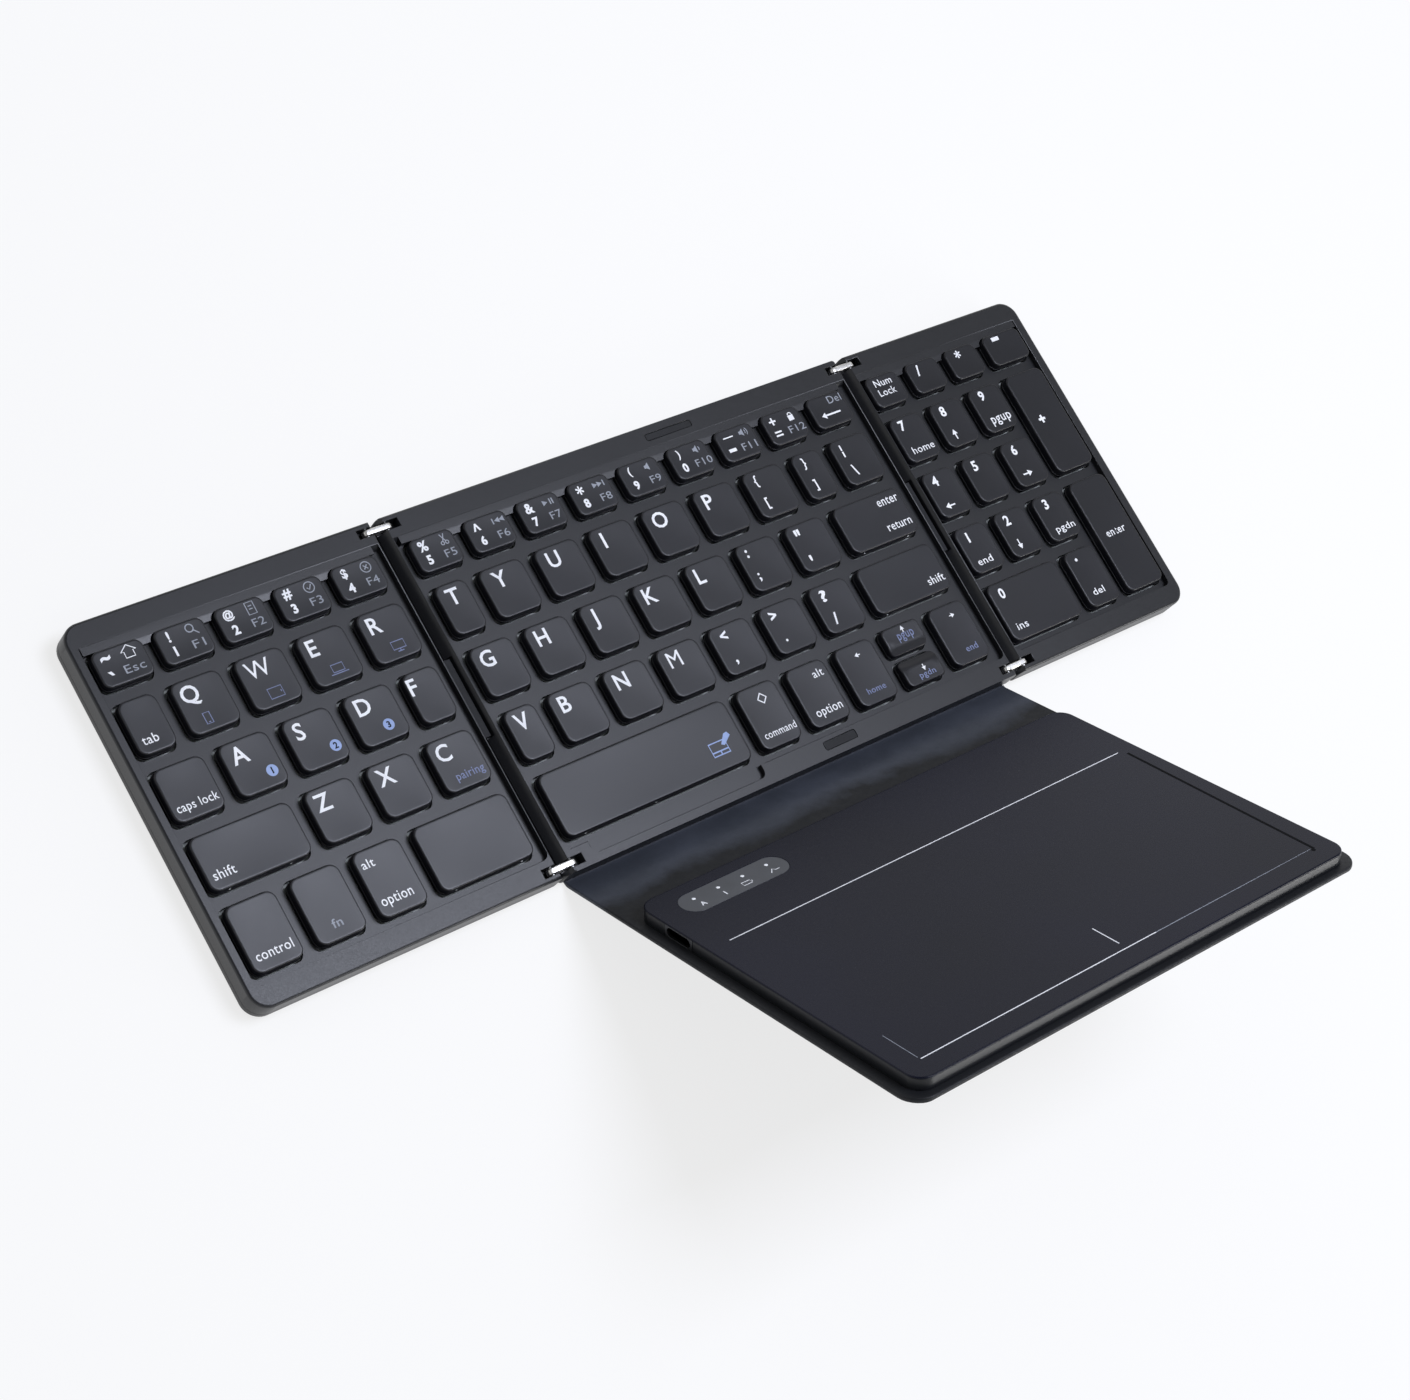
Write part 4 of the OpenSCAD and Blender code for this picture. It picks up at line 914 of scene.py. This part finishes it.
# base of the touchpad, with the lip round the module
baseTo, farR, edgeR = moduleEnd + size["lipFront"], leather["farR"], leather["edgeR"]
stations = [flatStation(flapLen + reach + (baseTo - farR - reach) * i / 16) for i in range(17)]
for a in map(math.radians, (12, 24, 36, 48, 58, 66, 73, 79, 84, 90)):
    y = baseTo - farR * (1 - math.sin(a))
    fromEnd = min(1.0, (baseTo - y) / edgeR)
    stations.append(flatStation(flapLen + y, halfFlapW - farR * (1 - math.cos(a)),
                                halfT - edgeR + edgeR * math.sqrt(max(0.0, 1 - (1 - fromEnd) ** 2))))
leatherPiece("leather.base", "touchpad", stations, replaces=["touch_base"])
print("leather made")


# touchpad: cover, window and printed lines
cover = {"edgeR": 0.3, "support": 0.35, "cornerR": 4.5, "footIn": 0.06, "footH": 0.05,
         "holeR": 0.08, "holePlay": 0.05, "holeSupport": 0.2,
         "paneDrop": 0.05, "paneR": 0.1, "paneFootIn": 0.02, "paneFootH": 0.03, "paneSupport": 0.35}


def holedPlate(outer, inner):
    mesh = bmesh.new()

    def addLoops(rings):
        loops = [[mesh.verts.new(v) for v in ring] for ring in rings]
        for a, b in zip(loops, loops[1:]):
            for i in range(len(a)):
                j = (i + 1) % len(a)
                mesh.faces.new((a[i], a[j], b[j], b[i]))
        return [[mesh.edges.get((loop[i], loop[(i + 1) % len(loop)])) for i in range(len(loop))]
                for loop in (loops[0], loops[-1])]

    firstOut, lastOut = addLoops(outer)
    firstIn, lastIn = addLoops(inner)
    bmesh.ops.triangle_fill(mesh, use_beauty=True, use_dissolve=False, edges=lastOut + lastIn)
    bmesh.ops.triangle_fill(mesh, use_beauty=True, use_dissolve=False, edges=firstOut + firstIn)
    mesh.verts.index_update()
    result = [tuple(v.co) for v in mesh.verts], [tuple(v.index for v in f.verts) for f in mesh.faces]
    mesh.free()
    return result


def coverRing(inset, z):
    w, d = size["moduleW"] - 2 * inset, size["moduleD"] - 2 * inset
    return [(x, y, z) for x, y in roundedLoop(-w / 2, inset - moduleEnd, w, d, cover["cornerR"] - inset, 12)]


def windowRing(grow, z):
    w, d = size["windowW"] + 2 * grow, size["windowD"] + 2 * grow
    left = size["windowIn"] - size["moduleW"] / 2 - grow
    low = -size["moduleY"] - size["windowY"] - d / 2
    return [(x, y, z) for x, y in roundedLoop(left, low, w, d, d / 2 - 0.1, 12)]


def roundEdge(ring, inset, r, top):  # a quarter round that ends at the height top
    return [ring(inset + r * (1 - math.cos(a)), top - abs(r) * (1 - math.sin(a)))
            for a in (math.pi / 2 * i / 5 for i in range(6))]


play, edgeR, holeR = cover["holePlay"], cover["edgeR"], cover["holeR"]
outer = [coverRing(cover["footIn"], plateZ), coverRing(0, plateZ + cover["footH"]),
         *roundEdge(coverRing, 0, edgeR, plateTop), coverRing(edgeR + cover["support"], plateTop)]
hole = [windowRing(play, plateZ), *roundEdge(windowRing, play, holeR, plateTop),
        windowRing(play + holeR + cover["holeSupport"], plateTop)]
makePiece("touch_plate.film", holedPlate(outer, hole), "hardCoatedPetFilm", "touchpad", touchPlace,
          replaces=["touch_plate"], slot="touch_cover", even=True)

windowTop = plateTop - cover["paneDrop"]
pane = [windowRing(-cover["paneFootIn"], plateZ), windowRing(0, plateZ + cover["paneFootH"]),
        *roundEdge(windowRing, 0, -cover["paneR"], windowTop), windowRing(-cover["paneSupport"], windowTop)]
makePiece("led_window.pane", ringMesh(pane), "smokedPolycarbonate", "touchpad", touchPlace, replaces=["led_window"],
          slot="window_plastic", even=True)

lights = {"x": [-61.2, -53.5, -45.7, -38.0], "y": -8.2, "r": 0.55, "high": 0.05, "sunk": 0.02, "signY": -11.2}
for i, x in enumerate(lights["x"]):
    heights = [math.pi / 2 * k / 4.4 for k in range(5)]
    dome = [[(*onCircle(x, lights["y"], lights["r"] * math.cos(a), 18 * j),
              windowTop - lights["sunk"] + lights["high"] * math.sin(a)) for j in range(20)] for a in heights]
    makePiece("statusLight.%d" % (i + 1), ringMesh(dome), "castEpoxyLens", "touchpad", touchPlace)


def printedOnPad(name, parts, colour, top=plateTop):
    verts, faces = joinMeshes(parts)
    makePiece(name, ([(x, y, z + top + 0.01) for x, y, z in verts], faces), colour, "touchpad", touchPlace)


def taper(x0, x1, y, w0, w1):
    return polygonMesh([(x0, y - w0 / 2), (x1, y - w1 / 2), (x1, y + w1 / 2), (x0, y + w0 / 2)])


# the small signs beside the lights: capitals, numbers, charge, link
signs = [placeText("A", 0.03, lights["x"][0] + 0.5, lights["signY"], 1.6),
         placeText("1", 0.03, lights["x"][1] - 0.2, lights["signY"], 1.6),
         strokeMesh([box(-48.2, -11.9, -45.6, -10.6), [(-45.2, -11.5), (-45.2, -11.0)]], 0.22),
         strokeMesh([[(-39.4, -11.9), (-38.2, -10.5), (-37.6, -11.3), (-36.4, -11.3)]], 0.24)]
printedOnPad("led_window.signs", signs, white, windowTop)

pad = {"near": -27.8, "far": -92.0, "halfW": 66.8, "line": 0.3, "faint": 0.16, "tickFrom": -81.0, "tickTo": -89.5,
       "fadeFrom": 10, "sideLine": 0.8, "dotR": 0.6}
printedOnPad("padPrint.white", [strokeMesh([[(-pad["halfW"], pad["near"]), (pad["halfW"], pad["near"])],
                                            [(0, pad["tickFrom"]), (0, pad["tickTo"])]], pad["line"]),
                                taper(-pad["halfW"], pad["fadeFrom"], pad["far"], pad["line"], pad["line"])], white)
printedOnPad("padPrint.grey", [taper(pad["fadeFrom"], 66, pad["far"], pad["line"] * 0.8, 0.1),
                               strokeMesh([[(-67.0, -80.0), (-67.0, -91.2)]], pad["faint"])], grey)
printedOnPad("padPrint.dark", [strokeMesh([[(68.6, -29.5), (67.0, -92.4)]], pad["sideLine"]),
                               polygonMesh(circlePoints(66.4, -92.7, pad["dotR"], 16)[:-1])], black)
print("touchpad dressed")


# floor, lights and camera: the floor takes the object's shadow from its own colour, and looks white by the part that
# the eye sees as glow
studio = {"floor": "EDEDED", "floorGlow": 0.74, "floorHalf": 6, "floorZ": -0.0002, "ceiling": "858585",
          "ceilingFrom": 0.2, "ceilingTo": 0.6, "soft": "F4F6FA", "softStrength": 0.45}


def seenByEye(tree):  # camera, mirror and glass see the pale background; the light on the object doesn't change
    path = addNode(tree, "ShaderNodeLightPath").outputs
    first = addNode(tree, "ShaderNodeMath", {"operation": "MAXIMUM"},
                    {0: path["Is Camera Ray"], 1: path["Is Glossy Ray"]})
    return addNode(tree, "ShaderNodeMath", {"operation": "MAXIMUM"},
                   {0: first.outputs[0], 1: path["Is Transmission Ray"]}).outputs[0]


def paleFloor():
    material = bpy.data.materials.new("pale floor")
    tree = emptyTree(material)
    diffuse = addNode(tree, "ShaderNodeBsdfDiffuse", {"Color": hexToLinear(studio["floor"])})
    glow = addNode(tree, "ShaderNodeEmission", {"Color": (1, 1, 1, 1), "Strength": 1.0})
    seen = addNode(tree, "ShaderNodeMath", {"operation": "MULTIPLY", 1: studio["floorGlow"]}, {0: seenByEye(tree)})
    mix = addNode(tree, "ShaderNodeMixShader", links={0: seen.outputs[0], 1: diffuse.outputs[0], 2: glow.outputs[0]})
    addNode(tree, "ShaderNodeOutputMaterial", links={"Surface": mix.outputs[0]})
    return material


def paleRoom(world):  # white walls all round and a dim ceiling for the eye, soft light for the object
    tree = emptyTree(world)
    coords = addNode(tree, "ShaderNodeTexCoord").outputs["Generated"]
    upward = addNode(tree, "ShaderNodeSeparateXYZ", links={"Vector": coords}).outputs["Z"]
    height = addNode(tree, "ShaderNodeMapRange",
                     {"interpolation_type": "SMOOTHSTEP", "From Min": studio["ceilingFrom"],
                      "From Max": studio["ceilingTo"], "To Min": 0.0, "To Max": 1.0}, {"Value": upward})
    walls = mixColours(tree, height.outputs["Result"], (1, 1, 1, 1), hexToLinear(studio["ceiling"]))
    soft = addNode(tree, "ShaderNodeBackground",
                   {"Color": hexToLinear(studio["soft"]), "Strength": studio["softStrength"]})
    plain = addNode(tree, "ShaderNodeBackground", {"Strength": 1.0}, {"Color": walls})
    mix = addNode(tree, "ShaderNodeMixShader", links={0: seenByEye(tree), 1: soft.outputs[0], 2: plain.outputs[0]})
    addNode(tree, "ShaderNodeOutputWorld", links={"Surface": mix.outputs[0]})


def addToScene(name, data):
    thing = bpy.data.objects.new(name, data)
    bpy.context.scene.collection.objects.link(thing)
    return thing


far = studio["floorHalf"]
floorData = bpy.data.meshes.new("floor")
floorData.from_pydata([(-far, -far, 0), (far, -far, 0), (far, far, 0), (-far, far, 0)], [], [(0, 1, 2, 3)])
floorData.materials.append(paleFloor())
floor = addToScene("floor", floorData)
floor.location.z = studio["floorZ"]
bpy.context.scene.world = bpy.data.worlds.new("studio")
paleRoom(bpy.context.scene.world)


lamps = {"softBox": {"place": (0.32, -0.076, 1.086), "target": (-0.05, 0, 0), "sizeM": (0.555, 0.42), "power": 9.7,
                     "colour": "E9EEFF"},
         "frontStrip": {"place": (0.71, -1.0, 0.26), "target": (0, 0, 0), "sizeM": (0.6, 0.28), "power": 4.2,
                        "colour": "FFFFFF"}}


def areaLamp(name, place, target, sizeM, power, colour):
    data = bpy.data.lights.new(name, "AREA")
    data.shape = "RECTANGLE"
    data.size, data.size_y = sizeM
    data.energy = power
    data.color = hexToLinear(colour)[:3]
    ahead = (Vector(target) - Vector(place)).normalized()
    across = (Vector((1, 0, 0)) - ahead * ahead.x).normalized()  # the lamp's long side stays along x
    turn = Matrix((across, (-ahead).cross(across), -ahead)).transposed().to_4x4()
    addToScene(name, data).matrix_world = Matrix.Translation(place) @ turn


for name, lamp in lamps.items():
    areaLamp(name, **lamp)

# the camera as solved from the key corners: focal length in the photograph's pixels, its axes in the part's frame,
# and the shift in mm from the point that the corners were measured from
view = {"focalPx": 3000.02, "photoW": 1410, "sensorMm": 36, "right": (0.75980, -0.48359, 0.43457),
        "down": (-0.31896, -0.85969, -0.39899), "ahead": (0.56654, 0.16454, -0.80744),
        "shift": (-131.674, -4.739, 696.466), "from": (155.896, -32.4, -8.8)}
camera = addToScene("camera", bpy.data.cameras.new("camera"))
bpy.context.scene.camera = camera
camera.data.sensor_width = view["sensorMm"]
camera.data.lens = view["focalPx"] / view["photoW"] * view["sensorMm"]
camera.data.clip_start, camera.data.clip_end = 0.01, 20
right, down, ahead = (Vector(view[axis]).normalized() for axis in ("right", "down", "ahead"))
eye = -(Matrix((right, down, ahead)).transposed() @ Vector(view["shift"])) - Vector(view["from"])
camera.matrix_world = Matrix.Translation(eye * 0.001) @ Matrix((right, -down, -ahead)).transposed().to_4x4()
bpy.context.scene.view_settings.view_transform = "Standard"
print("camera and lights set")
